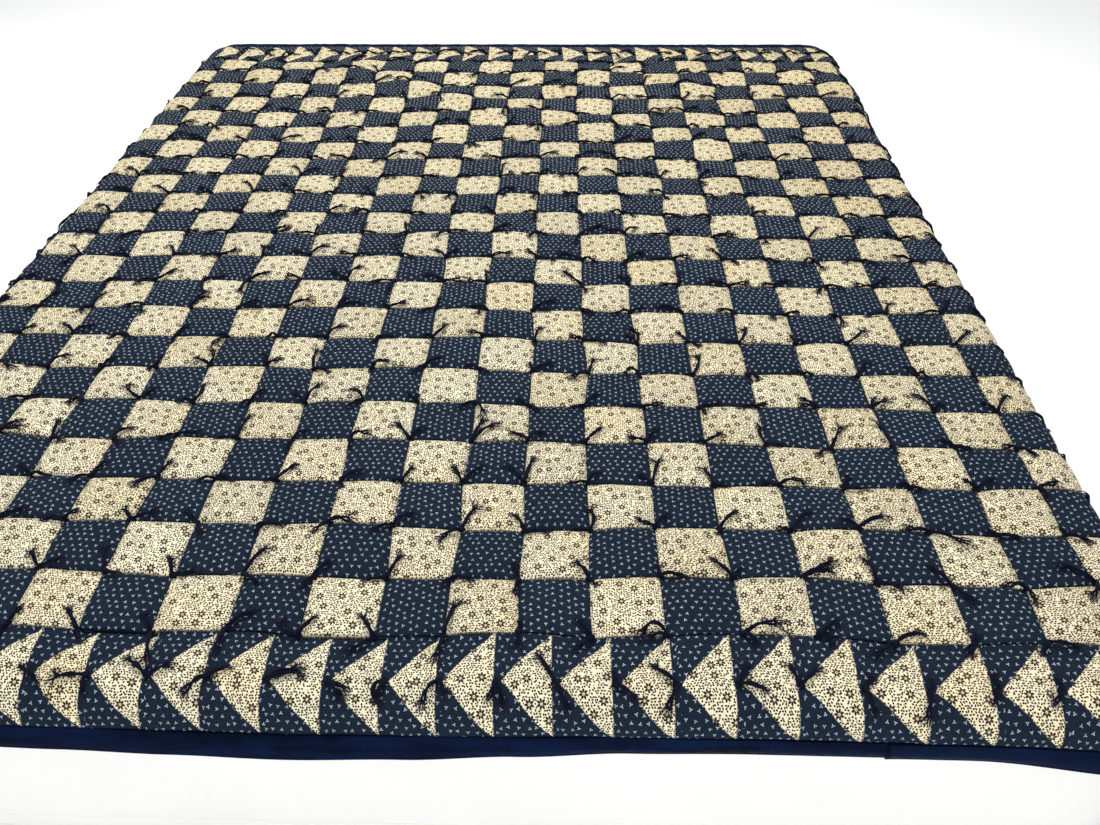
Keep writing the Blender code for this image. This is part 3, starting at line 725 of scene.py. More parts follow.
def patch_coordinates(g, where, salt):
    """Each patch is cut from another place of its cloth, square to the grain. The
    slope down to the foot seam is longer than its plan."""
    cell = g.vector("FLOOR", g.vector("MULTIPLY", where, (1.0 / PATCH, 1.0 / PATCH, 0.0)))
    dice = g.white(g.vector("ADD", cell, (salt, 3.7, 0.5)))
    colour = dice["Color"]
    quarter = g.math("MULTIPLY", g.math("FLOOR", g.math("MULTIPLY", dice["Value"], 4.0)), math.pi / 2.0)
    x, y, _ = g.split(where)
    down = g.math("MAXIMUM", g.math("MULTIPLY_ADD", y, -1.0, 0.008), 0.0)
    longer = g.math("MULTIPLY_ADD", g.math("MULTIPLY", down, down), -56.0, y)
    made = g.node("ShaderNodeVectorRotate", rotation_type="Z_AXIS")
    g.put(made.inputs["Vector"], g.join(x, longer))
    g.put(made.inputs["Angle"], quarter)
    return g.vector("ADD", made.outputs[0], colour), dice["Value"]


def painted_seam_shade(g, x, y):
    """Painted shade in the last millimetre beside a seam, heavier on the seams that run across the bed, with a wider
    band of painted shadow along the foot seam.
    """
    def near(value, wide):
        d = g.math("ABSOLUTE", g.math("SUBTRACT", g.math("FRACT", g.math("ADD", g.math("DIVIDE", value, PATCH), 20.5)), 0.5))
        return g.range(d, 0.004, wide, 1.0, 0.0)

    lines = g.math("MAXIMUM", g.math("MULTIPLY", near(x, 0.020), 0.45), g.math("MULTIPLY", near(y, 0.026), 0.85))
    return g.math("MAXIMUM", lines, g.range(g.math("ABSOLUTE", y), 0.0006, 0.0022, 0.5, 0.0))


def patch_material(name, kind):
    g = Graph(name)
    where = g.attribute("pattern")["Vector"]
    x, y, _ = g.split(where)
    printed, dice = patch_coordinates(g, where, 1.3 if kind == "navy" else 8.9)
    if kind == "navy":
        # greyer towards the head: painted sheen
        colour = sprigs(g, printed, g.range(y, 0.25 * LENGTH, LENGTH, 0.0, 0.7))
    else:
        # warmer towards the head and the right: painted warm light
        colour = blossoms(g, printed, painted_warm_light(g, x, y))
    shade = g.node("ShaderNodeHueSaturation")
    g.put(shade.inputs["Color"], colour)
    g.put(shade.inputs["Value"], g.range(dice, 0.0, 1.0, 0.93, 1.05, "LINEAR"))
    # painted shade colours for the seam lines
    seam_shade_colour = (0.001, 0.002, 0.005) if kind == "navy" else (0.055, 0.045, 0.034)
    colour = g.mix(painted_seam_shade(g, x, y), shade.outputs[0], seam_shade_colour)
    rough = g.range(g.noise(where, 40.0), 0.3, 0.7, 0.80, 0.92)
    return g.finish(colour, rough, weave(g, where, x, y), specular=0.03)


def border_material(name, first, pitch, axis, direction, outer, count, drifts=False):
    """Flying triangles along one border. outer is the pattern value at its
    outside seam, on the axis across it."""
    g = Graph(name)
    where = g.attribute("pattern")["Vector"]
    x, y, _ = g.split(where)
    along, across = (x, y) if axis == "x" else (y, x)
    if drifts:
        far = g.math("DIVIDE", g.math("SUBTRACT", x, 13.2 * PATCH), 3.6 * PATCH)
        far = g.math("EXPONENT", g.math("MULTIPLY", g.math("POWER", g.math("ABSOLUTE", far), 4.0), -1.0))
        along = g.math("MULTIPLY_ADD", far, 0.0115, along)
    steps = g.math("MULTIPLY", g.math("SUBTRACT", along, first), direction / pitch)
    number = g.math("FLOOR", steps)
    dice = g.white(g.join(number, outer * 7.0, 4.2))
    share = g.math("FRACT", g.math("ADD", steps, 60.0))
    away = g.math("ABSOLUTE", g.math("SUBTRACT", g.math("DIVIDE", g.math("ABSOLUTE", g.math("SUBTRACT", across, outer)), 0.5 * BORDER), 1.0))
    away = g.math("ADD", away, g.math("MULTIPLY", g.math("SUBTRACT", dice["Value"], 0.5), 0.05))
    inside_slant = g.math("LESS_THAN", away, g.math("DIVIDE", share, GOOSE))
    before_base = g.math("LESS_THAN", share, g.math("ADD", GOOSE, g.math("MULTIPLY", g.math("SUBTRACT", away, 0.5), 0.02)))
    lowest = 0.0 if direction > 0 else 1.0 - count
    real = g.math("MULTIPLY", g.math("GREATER_THAN", steps, lowest), g.math("LESS_THAN", steps, lowest + count))
    goose = g.math("MULTIPLY", g.math("MULTIPLY", inside_slant, before_base), real)
    shifted = g.vector("ADD", where, dice["Color"])
    light = g.vector("ADD", shifted, (0.31, 0.17, 0.0))
    # towards the head a painted sheen greys the navy, and painted warm light tints the cream
    colour = g.mix(goose, sprigs(g, shifted, g.range(y, 0.25 * LENGTH, LENGTH, 0.0, 0.7)), blossoms(g, light, painted_warm_light(g, x, y)))
    edge_d = g.math("MULTIPLY", g.math("ABSOLUTE", g.math("SUBTRACT", away, g.math("DIVIDE", share, GOOSE))), 0.5 * BORDER)
    slant_line = g.math("MULTIPLY", g.range(edge_d, 0.0003, 0.0014, 1.0, 0.0), g.math("LESS_THAN", share, GOOSE))
    base_line = g.range(g.math("MULTIPLY", g.math("ABSOLUTE", g.math("SUBTRACT", share, GOOSE)), pitch), 0.0003, 0.0012, 1.0, 0.0)
    seams = g.math("MULTIPLY", g.math("MAXIMUM", slant_line, base_line), real)
    rim = g.math("ABSOLUTE", g.math("SUBTRACT", g.math("ABSOLUTE", g.math("SUBTRACT", across, outer)), 0.5 * BORDER))
    rim = g.range(rim, 0.5 * BORDER - 0.0022, 0.5 * BORDER - 0.0004)
    # painted shade along the triangles' seams
    colour = g.mix(g.math("MULTIPLY", seams, 0.55), colour, (0.02, 0.02, 0.03))
    # painted shade along both long seams of the strip
    colour = g.mix(g.math("MULTIPLY", rim, 0.5), colour, (0.004, 0.006, 0.014))
    rough = g.range(g.noise(where, 40.0), 0.3, 0.7, 0.80, 0.92)
    return g.finish(colour, rough, weave(g, where, x, y), specular=0.03)


def binding_material(name, lapped):
    g = Graph(name)
    where = g.attribute("pattern")["Vector"]
    x, y, _ = g.split(where)
    mottled = g.noise(where, 34.0, 4.0, 0.6)
    long = g.noise(g.join(g.math("MULTIPLY", x, 9.0), g.math("MULTIPLY", y, 60.0)), 1.0, 3.0)
    colour = g.mix(g.range(g.math("ADD", g.math("MULTIPLY", mottled, 0.4), g.math("MULTIPLY", long, 0.6)), 0.36, 0.64), linear(3, 11, 29), linear(10, 25, 57))
    if lapped:
        # painted sheen: the foot binding lighter past its join
        past_join_sheen = g.range(x, BINDING_JOIN - 0.0002, BINDING_JOIN + 0.0002, 0.0, 0.30, "LINEAR")
        colour = g.mix(past_join_sheen, colour, linear(14, 31, 60))
        # painted shadow on both sides of the binding's join
        join_shadow = g.range(g.math("ABSOLUTE", g.math("SUBTRACT", x, BINDING_JOIN)), 0.0004, 0.0022, 0.8, 0.0)
        colour = g.mix(join_shadow, colour, linear(3, 6, 15))
    fine = g.noise(g.vector("MULTIPLY", where, (1800.0, 1800.0, 1.0)), 1.0, 1.0)
    slant = g.noise(g.join(g.math("MULTIPLY", g.math("ADD", x, y), 95.0), g.math("MULTIPLY", g.math("SUBTRACT", x, y), 30.0)), 1.0, 2.0)
    normal = g.bump(slant, 0.0022, 0.55)
    normal = g.bump(fine, 0.0001, 0.4, normal)
    rough = g.range(mottled, 0.3, 0.7, 0.56, 0.70)
    return g.finish(colour, rough, normal, specular=0.03)


def lining_material(name):
    g = Graph(name)
    where = g.attribute("pattern")["Vector"]
    colour = g.mix(g.noise(where, 160.0, 3.0), linear(16, 26, 50), linear(24, 36, 64))
    fine = g.noise(g.vector("MULTIPLY", where, (1500.0, 1500.0, 1.0)), 1.0, 1.0)
    return g.finish(colour, g.range(g.noise(where, 30.0), 0.3, 0.7, 0.82, 0.92), g.bump(fine, 0.0001, 0.5))


def yarn_material(name):
    g = Graph(name)
    tip = g.attribute("tip")["Fac"]
    where = g.node("ShaderNodeTexCoord").outputs["Object"]
    mottled = g.noise(where, 420.0, 2.0)
    body = g.mix(mottled, linear(6, 9, 21), linear(18, 22, 42))
    frayed = g.mix(mottled, linear(24, 25, 43), linear(56, 55, 78))
    colour = g.mix(g.range(tip, 0.45, 1.0), body, frayed)
    twist = g.noise(where, 900.0, 1.0)
    return g.finish(colour, g.range(mottled, 0.3, 0.7, 0.82, 0.95), g.bump(twist, 0.0005, 0.6), sheen=0.04, tint=(0.7, 0.72, 1.0), specular=0.05)


def ticking_material(name):
    g = Graph(name)
    where = g.node("ShaderNodeTexCoord").outputs["Object"]
    mottled = g.noise(where, 9.0, 4.0, 0.6)
    colour = g.mix(mottled, linear(240, 239, 236), linear(250, 249, 246))
    threads = g.noise(g.vector("MULTIPLY", where, (900.0, 900.0, 900.0)), 1.0, 1.0)
    soft = g.noise(where, 14.0, 2.0)
    normal = g.bump(soft, 0.004, 0.35)
    return g.finish(colour, g.range(mottled, 0.3, 0.7, 0.78, 0.9), g.bump(threads, 0.0002, 0.4, normal), sheen=0.1, specular=0.2)


def floor_material(name):
    g = Graph(name)
    where = g.node("ShaderNodeTexCoord").outputs["Object"]
    colour = g.mix(g.noise(where, 1.2, 2.0), linear(250, 250, 250), linear(254, 254, 254))
    return g.finish(colour, g.range(g.noise(where, 3.0), 0.3, 0.7, 0.9, 0.98), specular=0.1)


# ------------------------------------------------------------------- pieces

navy = patch_material("navy_sprig_cotton", "navy")
cream = patch_material("cream_flower_cotton", "cream")
foot_geese = border_material("foot_border_cotton", TIE_FIRST, TIE_PITCH, "x", 1.0, -BORDER, TIES, drifts=True)
head_geese = border_material("head_border_cotton", HEAD_FIRST, HEAD_PITCH, "x", -1.0, LENGTH + BORDER, TIES)
left_geese = border_material("left_border_cotton", SIDE_FIRST, SIDE_PITCH, "y", -1.0, -BORDER, SIDE_TIES)
right_geese = border_material("right_border_cotton", LENGTH - SIDE_FIRST - (SIDE_TIES - 1) * SIDE_PITCH, SIDE_PITCH, "y", 1.0, WIDTH + BORDER, SIDE_TIES)
bound = binding_material("navy_binding_cotton", False)
bound_foot = binding_material("navy_foot_binding_cotton", True)
lining = lining_material("navy_lining_cotton")
wool = yarn_material("navy_yarn_wool")
ticking = ticking_material("mattress_cover_cloth")

IN_PATCH = [0.0, 0.022, 0.052, 0.095, 0.155, 0.24, 0.35, 0.50, 0.65, 0.76, 0.845, 0.905, 0.948, 0.978]
panel_p = [PATCH * (k + t) for k in range(COLS) for t in IN_PATCH] + [WIDTH]
panel_q = [PATCH * (k + t) for k in range(ROWS) for t in IN_PATCH] + [LENGTH]
ACROSS = [0.0, 0.012, 0.03, 0.06, 0.10, 0.155, 0.215, 0.28, 0.34, 0.395, 0.44, 0.475, 0.50, 0.525, 0.56, 0.605, 0.66, 0.72, 0.785, 0.845, 0.90, 0.94, 0.97, 0.988, 1.0]
OVER = [0.0, 0.05, 0.13, 0.25, 0.4, 0.55, 0.68, 0.79, 0.88, 0.95, 1.0]


def between(a, b, shares):
    return [a + (b - a) * t for t in shares]


def evenly(a, b, step):
    count = max(1, round((b - a) / step))
    return [a + (b - a) * k / count for k in range(count + 1)]


def checks(p, q):
    return ((np.floor(p / PATCH) + np.floor(q / PATCH)) % 2).astype(int)  # 0 is cream


panel = slab("checkerboard_panel", panel_p, panel_q, 14, [cream, navy, lining], checks)
FINE = PATCH / 15.0
foot_border = slab("foot_border", evenly(-BORDER, WIDTH + BORDER, FINE), between(-BORDER, -GAP, ACROSS), 12, [foot_geese, lining])
head_border = slab("head_border", evenly(-BORDER, WIDTH + BORDER, FINE), between(LENGTH + GAP, LENGTH + BORDER, ACROSS), 12, [head_geese, lining])
left_border = slab("left_border", between(-BORDER, -GAP, ACROSS), evenly(0.0, LENGTH, FINE), 12, [left_geese, lining])
right_border = slab("right_border", between(WIDTH + GAP, WIDTH + BORDER, ACROSS), evenly(0.0, LENGTH, FINE), 12, [right_geese, lining])
foot_binding = slab("foot_binding", evenly(-EDGE, BINDING_JOIN - 0.0002, FINE) + evenly(BINDING_JOIN + 0.0002, WIDTH + EDGE, FINE), between(-EDGE, -BORDER - GAP, [1 - t for t in reversed(OVER)]), 5, [bound_foot])
head_binding = slab("head_binding", evenly(-EDGE, WIDTH + EDGE, FINE), between(LENGTH + BORDER + GAP, LENGTH + EDGE, OVER), 5, [bound])
left_binding = slab("left_binding", between(-EDGE, -BORDER - GAP, [1 - t for t in reversed(OVER)]), evenly(-BORDER, LENGTH + BORDER, FINE), 5, [bound])
right_binding = slab("right_binding", between(WIDTH + BORDER + GAP, WIDTH + EDGE, OVER), evenly(-BORDER, LENGTH + BORDER, FINE), 5, [bound])


# ------------------------------------------------------------------- mattress

def ring_outline(outset, steps):
    inset = FLAT_CORNER + CORNER_EASE
    radius = inset + outset
    corners = [
        (FLAT_RIGHT - inset, FLAT_HEAD - inset, 0.0),
        (FLAT_LEFT + inset, FLAT_HEAD - inset, 90.0),
        (FLAT_LEFT + inset, FLAT_FOOT + inset, 180.0),
        (FLAT_RIGHT - inset, FLAT_FOOT + inset, 270.0),
    ]
    turned = [
        (x + radius * math.cos(a), y + radius * math.sin(a))
        for x, y, start in corners
        for a in (math.radians(start + 90.0 * k / steps) for k in range(steps + 1))
    ]
    turned = [(x + SKEW * (y - MIDDLE), y) for x, y in turned]
    filled = []
    for n, (x, y) in enumerate(turned):
        filled.append((x, y))
        nx, ny = turned[(n + 1) % len(turned)]
        if math.hypot(nx - x, ny - y) > 0.2:
            filled += [(x + (nx - x) * k / 24, y + (ny - y) * k / 24) for k in range(1, 24)]
    return filled


def mattress_mesh():
    """Rings of one outline from the top down, with a rounded top edge and a piped edge near the bottom."""
    top = -TIED - GAP
    bottom = top - MATTRESS_HEIGHT
    start = FACE - TOP_RADIUS
    profile = []
    for k in range(13):
        a = math.radians(90.0 * k / 12)
        profile.append((start + TOP_RADIUS * math.sin(a), top - TOP_RADIUS * (1.0 - math.cos(a))))
    for z, out in ((0.060, 0.0), (0.100, -0.0006), (0.125, -0.0009), (0.150, -0.0006), (0.190, 0.0), (0.206, 0.0)):
        profile.append((FACE + out, top - z))
    piping = 0.0024
    for k in range(9):
        a = math.radians(-90.0 + 180.0 * k / 8)
        profile.append((FACE - 0.0012 + piping * math.cos(a), top - 0.2155 - piping * math.sin(a)))
    for k in range(8):
        a = math.radians(90.0 * k / 7)
        profile.append((FACE - 0.0008 - (BOTTOM_RADIUS - 0.0008) * (1.0 - math.cos(a)), bottom + BOTTOM_RADIUS * (1.0 - math.sin(a))))
    outlines = [ring_outline(outset, 10) for outset, _ in profile]
    count = len(outlines[0])
    points, faces = [], []
    for (_, z), outline in zip(profile, outlines):
        points += [(x + SHIFT[0], y + SHIFT[1], z + SHIFT[2]) for x, y in outline]
    for k in range(len(profile) - 1):
        for i in range(count):
            a, b = k * count + i, k * count + (i + 1) % count
            faces.append((a, a + count, b + count, b))
    faces.append(tuple(range(count)))
    last = (len(profile) - 1) * count
    faces.append(tuple(range(last + count - 1, last - 1, -1)))
    mesh = bpy.data.meshes.new("mattress_body")
    mesh.from_pydata(points, [], faces)
    mesh.shade_smooth()
    mesh.set_sharp_from_angle(angle=math.radians(50.0))
    mesh.materials.append(ticking)
    return link("mattress_body", mesh)


mattress = mattress_mesh()


# ----------------------------------------------------------------------- ties

YARN = 0.0042
# The tails of ties of the near rows, as they lie in the photograph: for each of
# a tie's two tails its direction in degrees from +X towards +Y, its length in
# millimetres and how far it curls, in degrees.
FOOT_TAILS = {
    # number along the foot border
    5: (-20, 20, -30, 150, 12, 0), 6: (188, 36, 0, -88, 22, 0), 7: (137, 32, 10, 25, 28, 0),
    8: (15, 25, 20, 219, 26, 0), 9: (30, 36, -20, 12, 38, 0), 10: (-22, 25, 0, -42, 27, 0),
    11: (180, 30, 150, 255, 22, 0), 12: (200, 32, 65, -60, 18, 0), 13: (250, 20, 0, -70, 26, 0),
    14: (124, 34, 0, -63, 30, 0), 15: (-35, 28, 0, 100, 15, 0), 16: (152, 30, -15, 242, 30, 0),
    17: (60, 22, 0, -15, 28, 0), 18: (115, 22, 0, 33, 27, 10), 19: (45, 18, 0, -75, 26, 0),
    20: (250, 30, 0, 80, 14, 0), 21: (235, 14, 0, 90, 20, 0), 22: (222, 18, 0, 95, 14, 0),
}
CORNER_TAILS = {
    # corner of the checkerboard
    (4, 0): (65, 22, 0, 250, 20, 0), (5, 0): (128, 28, 0, -60, 20, 0), (6, 0): (118, 24, 0, -78, 45, 0),
    (7, 0): (60, 38, -45, -95, 34, 0), (8, 0): (55, 24, 0, 215, 30, -120), (9, 0): (125, 28, 0, 240, 34, -40),
    (10, 0): (77, 42, 0, -100, 36, 0), (11, 0): (-92, 22, 0, 80, 14, 0), (12, 0): (128, 24, 0, 225, 28, 0),
    (13, 0): (100, 40, 150, 190, 22, 0), (14, 0): (20, 45, -5, -50, 22, 0), (15, 0): (35, 30, 0, -30, 18, 0),
    (16, 0): (40, 32, -40, 215, 35, 10), (17, 0): (240, 18, 0, 60, 15, 0), (18, 0): (-10, 30, 0, 230, 18, 0),
    (4, 1): (126, 28, 0, 22, 28, 0), (5, 1): (108, 35, 0, -20, 20, 0), (6, 1): (116, 25, 0, 0, 27, 0),
    (7, 1): (64, 40, 0, -42, 30, 0), (8, 1): (48, 24, 0, 246, 23, 0), (9, 1): (62, 34, 0, 194, 24, 0),
    (10, 1): (-15, 29, 0, 235, 18, 0), (11, 1): (109, 24, 0, 264, 26, 0), (12, 1): (129, 25, 0, -60, 14, 0),
    (13, 1): (-5, 29, 10, 95, 15, 0), (14, 1): (130, 30, 0, 50, 15, 0), (15, 1): (29, 44, 0, 16, 36, 0),
    (16, 1): (90, 32, 20, -25, 28, 10), (17, 1): (160, 28, -60, -60, 34, 0), (18, 1): (160, 22, 30, -80, 24, 0),
    (3, 2): (19, 31, 0, 200, 20, 0), (4, 2): (48, 17, 0, 194, 24, 0), (5, 2): (132, 22, 0, 21, 31, 0),
    (6, 2): (139, 23, 0, -58, 30, 0), (7, 2): (-10, 31, -15, -95, 20, 0), (8, 2): (10, 31, -10, 235, 24, 0),
    (9, 2): (62, 31, -60, 212, 30, 0), (10, 2): (59, 42, 0, 229, 34, 0), (11, 2): (120, 24, 0, -17, 32, 0),
    (12, 2): (52, 35, 65, 184, 24, 0), (13, 2): (175, 24, -30, 45, 24, 0), (14, 2): (53, 33, 0, -100, 15, 0),
    (15, 2): (44, 36, 0, 175, 14, 0), (16, 2): (30, 38, 0, 150, 22, 0), (17, 2): (175, 26, 0, -28, 42, 0),
    (18, 2): (-15, 26, 0, 160, 14, 0), (19, 2): (-40, 28, 0, 100, 12, 0),
    (3, 3): (141, 25, 0, -9, 28, 0), (4, 3): (70, 26, 0, 225, 28, 0), (5, 3): (62, 28, 0, 227, 30, 0),
    (6, 3): (25, 30, -60, 197, 24, 0), (7, 3): (49, 30, 0, 190, 14, 0), (8, 3): (27, 28, 0, -73, 18, 0),
    (9, 3): (57, 24, 0, 185, 14, 0), (10, 3): (123, 30, 0, 45, 32, 0), (11, 3): (76, 43, 0, 135, 37, 0),
    (12, 3): (184, 24, 0, 45, 22, 0), (13, 3): (74, 46, 0, 133, 22, 0), (14, 3): (95, 31, 30, 0, 14, 0),
    (15, 3): (30, 33, -35, 173, 23, 0), (16, 3): (-60, 32, 90, 65, 22, 0), (17, 3): (-35, 16, 0, 150, 14, 0),
    (18, 3): (130, 17, 0, 28, 26, 0), (19, 3): (10, 28, 0, -80, 22, 0),
    (2, 4): (33, 31, 15, 15, 30, 0), (3, 4): (100, 30, 0, -42, 25, 0), (4, 4): (80, 24, -70, -55, 28, 0),
    (5, 4): (208, 23, 0, 10, 30, 0), (6, 4): (80, 42, 0, 190, 26, 0), (7, 4): (30, 22, 0, -95, 28, 0),
    (8, 4): (17, 26, 0, -82, 24, 0), (9, 4): (130, 34, 0, 50, 25, 0), (10, 4): (68, 46, 0, 45, 46, -10),
    (11, 4): (153, 27, 0, 33, 26, 0), (12, 4): (50, 33, 0, 197, 20, 0), (13, 4): (163, 24, 0, 54, 27, 0),
    (14, 4): (20, 27, 25, 180, 14, 0), (15, 4): (135, 38, -75, 0, 22, 0), (16, 4): (57, 43, 0, 221, 27, 0),
    (17, 4): (97, 44, 0, -90, 20, 0), (18, 4): (-27, 20, 0, 145, 20, 0), (19, 4): (-48, 27, 0, 175, 16, 0),
    (2, 5): (200, 22, 0, 10, 20, 0), (3, 5): (240, 20, 0, -60, 20, 0), (4, 5): (165, 34, -60, 10, 30, 65),
    (5, 5): (40, 36, 70, 197, 21, 0), (6, 5): (54, 25, 0, 230, 18, 0), (7, 5): (61, 38, 0, 138, 24, 0),
    (8, 5): (115, 27, 30, 228, 24, 0), (9, 5): (140, 20, 0, 90, 14, 0), (10, 5): (220, 28, 0, -60, 30, 0),
    (11, 5): (158, 20, 0, -50, 22, 0), (12, 5): (195, 20, 0, 55, 28, 0), (13, 5): (5, 27, 0, 188, 30, 0),
    (14, 5): (-72, 22, 0, 0, 30, 0), (15, 5): (175, 26, 40, 20, 14, 0), (16, 5): (141, 23, 0, 176, 22, 0),
    (17, 5): (32, 28, 0, 72, 22, 0), (18, 5): (125, 34, 0, 40, 18, 0), (19, 5): (48, 38, 0, 136, 22, 0),
    (2, 6): (43, 30, 0, 202, 29, 0), (3, 6): (50, 20, 0, -95, 18, 0), (4, 6): (88, 26, 0, -120, 14, 0),
    (5, 6): (160, 30, -25, 80, 42, 40), (6, 6): (115, 28, -30, 30, 27, 0), (7, 6): (112, 46, -30, -35, 30, 0),
    (8, 6): (21, 25, 0, -90, 13, 0), (9, 6): (35, 28, 0, 238, 26, 0), (10, 6): (165, 20, 0, -45, 20, 0),
    (11, 6): (105, 18, 0, 25, 32, 0), (12, 6): (66, 31, 0, 225, 32, 0), (13, 6): (115, 32, 150, -80, 13, 0),
    (14, 6): (45, 46, 55, 185, 13, 0), (15, 6): (-58, 24, 0, -88, 24, 0), (16, 6): (170, 16, 0, -30, 14, 0),
    (17, 6): (235, 18, 0, 55, 30, 0), (18, 6): (-52, 20, 0, 135, 18, 0), (19, 6): (88, 20, 0, -90, 14, 0),
    (1, 7): (36, 24, 0, 180, 20, 0), (2, 7): (137, 28, 0, 33, 30, 0), (3, 7): (222, 22, 0, -38, 25, 0),
    (4, 7): (58, 27, 0, -85, 20, 0), (5, 7): (180, 16, 0, 250, 30, 0), (6, 7): (-29, 22, 0, 190, 14, 0),
    (7, 7): (80, 32, -60, 188, 24, 0), (8, 7): (-10, 27, 0, 250, 16, 0), (9, 7): (10, 36, 75, 170, 14, 0),
    (10, 7): (161, 22, 0, -8, 26, 0), (11, 7): (65, 29, 0, -100, 14, 0), (12, 7): (168, 22, 0, -18, 32, 0),
    (13, 7): (60, 38, 75, 140, 20, 0), (14, 7): (129, 22, 0, -50, 24, 0), (15, 7): (40, 36, 60, 183, 28, 0),
    (16, 7): (100, 18, 0, 5, 14, 0), (17, 7): (15, 42, 50, 180, 18, 0), (18, 7): (20, 18, 0, -110, 13, 0),
    (19, 7): (39, 37, 0, 225, 14, 0),
}


def tie_tails(places, seed):
    """Two tails for each tie: direction, length and curl."""
    rng = np.random.default_rng(seed)
    count = len(places)
    level = rng.random((count, 2)) < 0.6
    angle = np.where(level, rng.normal(0.0, 24.0, (count, 2)), rng.uniform(-90.0, 90.0, (count, 2)))
    angle[:, 1] += np.where(rng.random(count) < 0.62, 180.0, rng.uniform(-70.0, 70.0, count))
    turn = rng.random(count) < 0.5
    angle = np.where(turn[:, None], angle + 180.0, angle)
    length = np.clip(rng.normal(0.031, 0.007, (count, 2)), 0.019, 0.046)
    curl = rng.normal(0.0, 26.0, (count, 2))
    return np.stack((angle, length, curl), -1)


def tie_mesh(name, places, seed, hang=0.0):
    """Ties at these pattern places: a flat knot and two doubled, frayed tails."""
    places = np.asarray(places, float)
    tails = tie_tails(places, seed)
    for n, (p, q) in enumerate(places):
        if name == "yarn_ties_foot":
            facts = FOOT_TAILS.get(n)
        else:
            facts = CORNER_TAILS.get((round(float(p) / PATCH), round(float(q) / PATCH))) if outside(p, q) < 0.001 else None
        if facts is not None:
            tails[n] = np.array(facts).reshape(2, 3) * (1.0, 0.001, 1.0)
    rng = np.random.default_rng(seed + 1)
    start = np.repeat(places, 2, axis=0)
    angle, length, curl = (tails[:, :, k].reshape(-1) for k in range(3))
    angle, curl = np.radians(angle), np.radians(curl)
    count = len(start)
    at_side = (start[:, 0] < 0.6 * PATCH) | (start[:, 0] > 19.2 * PATCH)
    curl = np.where(at_side, 0.3 * curl, curl)

    def path(p0, q0, heading, bend, size, steps, rise0, rise, first=0.0):
        """Pattern places and heights above the cloth of a curved tail."""
        s = np.linspace(0.0, 1.0, steps)[None, :]
        middle = np.linspace(0.0, 1.0, steps * 4)[None, :]
        theta = heading[:, None] + bend[:, None] * middle
        step = size[:, None] / (steps * 4 - 1)
        x = np.concatenate((np.zeros((len(p0), 1)), np.cumsum(np.cos(theta[:, 1:]) * step, 1)), 1)
        y = np.concatenate((np.zeros((len(p0), 1)), np.cumsum(np.sin(theta[:, 1:]) * step, 1)), 1)
        pick = np.round(s[0] * (steps * 4 - 1)).astype(int)
        lift = rise0[:, None] * (1 - s) ** 2 + rise[:, None] * np.sin(math.pi * np.minimum(1, s * 1.1)) ** 1.2
        return p0[:, None] + x[:, pick], q0[:, None] + y[:, pick], lift, theta[:, pick]

    parts = []
    # the doubled yarn, two strands turning round each other
    steps = 9
    stiff = np.where(rng.random(count) < 0.2, 0.0050, 0.0024) * rng.uniform(0.6, 1.3, count)
    stiff = np.where(at_side, 0.0004, stiff)
    p, q, lift, theta = path(start[:, 0], start[:, 1], angle, curl, length * 0.80, steps, np.full(count, 0.0016), stiff)
    twist = rng.uniform(0, 2 * math.pi, count)[:, None] + np.linspace(0, 5.5, steps)[None, :] * rng.uniform(0.6, 1.2, count)[:, None]
    spread = 0.00105 + 0.0009 * smooth((np.linspace(0, 1, steps) - 0.55) / 0.45)[None, :]
    ends = []
    for side in (0.0, math.pi):
        off = spread * np.cos(twist + side)
        up = 0.00145 + lift + spread * (1.0 + np.sin(twist + side)) * 0.8
        sp, sq = p - off * np.sin(theta), q + off * np.cos(theta)
        place, normal = surface(sp, sq, up)
        radius = np.linspace(1.0, 0.80, steps)[None, :] * rng.uniform(0.00148, 0.00188, (count, 1))
        tip = np.repeat(np.linspace(0.0, 0.40, steps)[None, :], count, 0)
        parts.append(tubes(name, place, normal, radius, tip, 5, wool))
        ends.append((sp[:, -2], sq[:, -2], up[:, -2]))
    # the frayed ends
    each = 5
    for sp, sq, up in ends:
        for k in range(each):
            fan = rng.normal(0.0, 0.34, count) + (k - (each - 1) / 2) * 0.22
            size = length * rng.uniform(0.26, 0.46, count)
            steps = 5
            fp, fq, flift, _ = path(sp, sq, angle + curl * 0.8 + fan, curl * 0.25 + rng.normal(0, 0.5, count), size, steps, np.zeros(count), rng.uniform(-0.0004, 0.0022, count))
            s = np.linspace(0.0, 1.0, steps)[None, :]
            height = np.maximum(up[:, None] * (1 - s) + flift + 0.0006 * s, 0.0004)
            place, normal = surface(fp, fq, height)
            radius = np.linspace(1.0, 0.55, steps)[None, :] * rng.uniform(0.00055, 0.00086, (count, 1))
            tip = np.repeat(np.linspace(0.45, 1.0, steps)[None, :], count, 0)
            parts.append(tubes(name, place, normal, radius, tip, 3, wool))
    # the knot: two short turns of yarn crossing on the cloth
    one = len(places)
    across = rng.uniform(0, math.pi, one)
    for turn, size, high in ((0.0, 0.0046, 0.0010), (1.25, 0.0038, 0.0020)):
        s = np.linspace(-1.0, 1.0, 6)
        x = places[:, :1] + np.cos(across + turn)[:, None] * s[None, :] * size
        y = places[:, 1:] + np.sin(across + turn)[:, None] * s[None, :] * size
        place, normal = surface(x, y, np.repeat((high + 0.0016 * (1 - s**2))[None, :] - 0.0006, one, 0))
        radius = np.repeat((0.0008 + 0.0011 * np.sqrt(np.maximum(0.0, 1 - (s * 0.9) ** 2)))[None, :], one, 0)
        parts.append(tubes(name, place, normal, radius, np.zeros((one, 6)), 6, wool))
    return joined(name, parts, wool)


def corners(rows):
    return [(PATCH * i, PATCH * j) for j in rows for i in range(COLS + 1)]


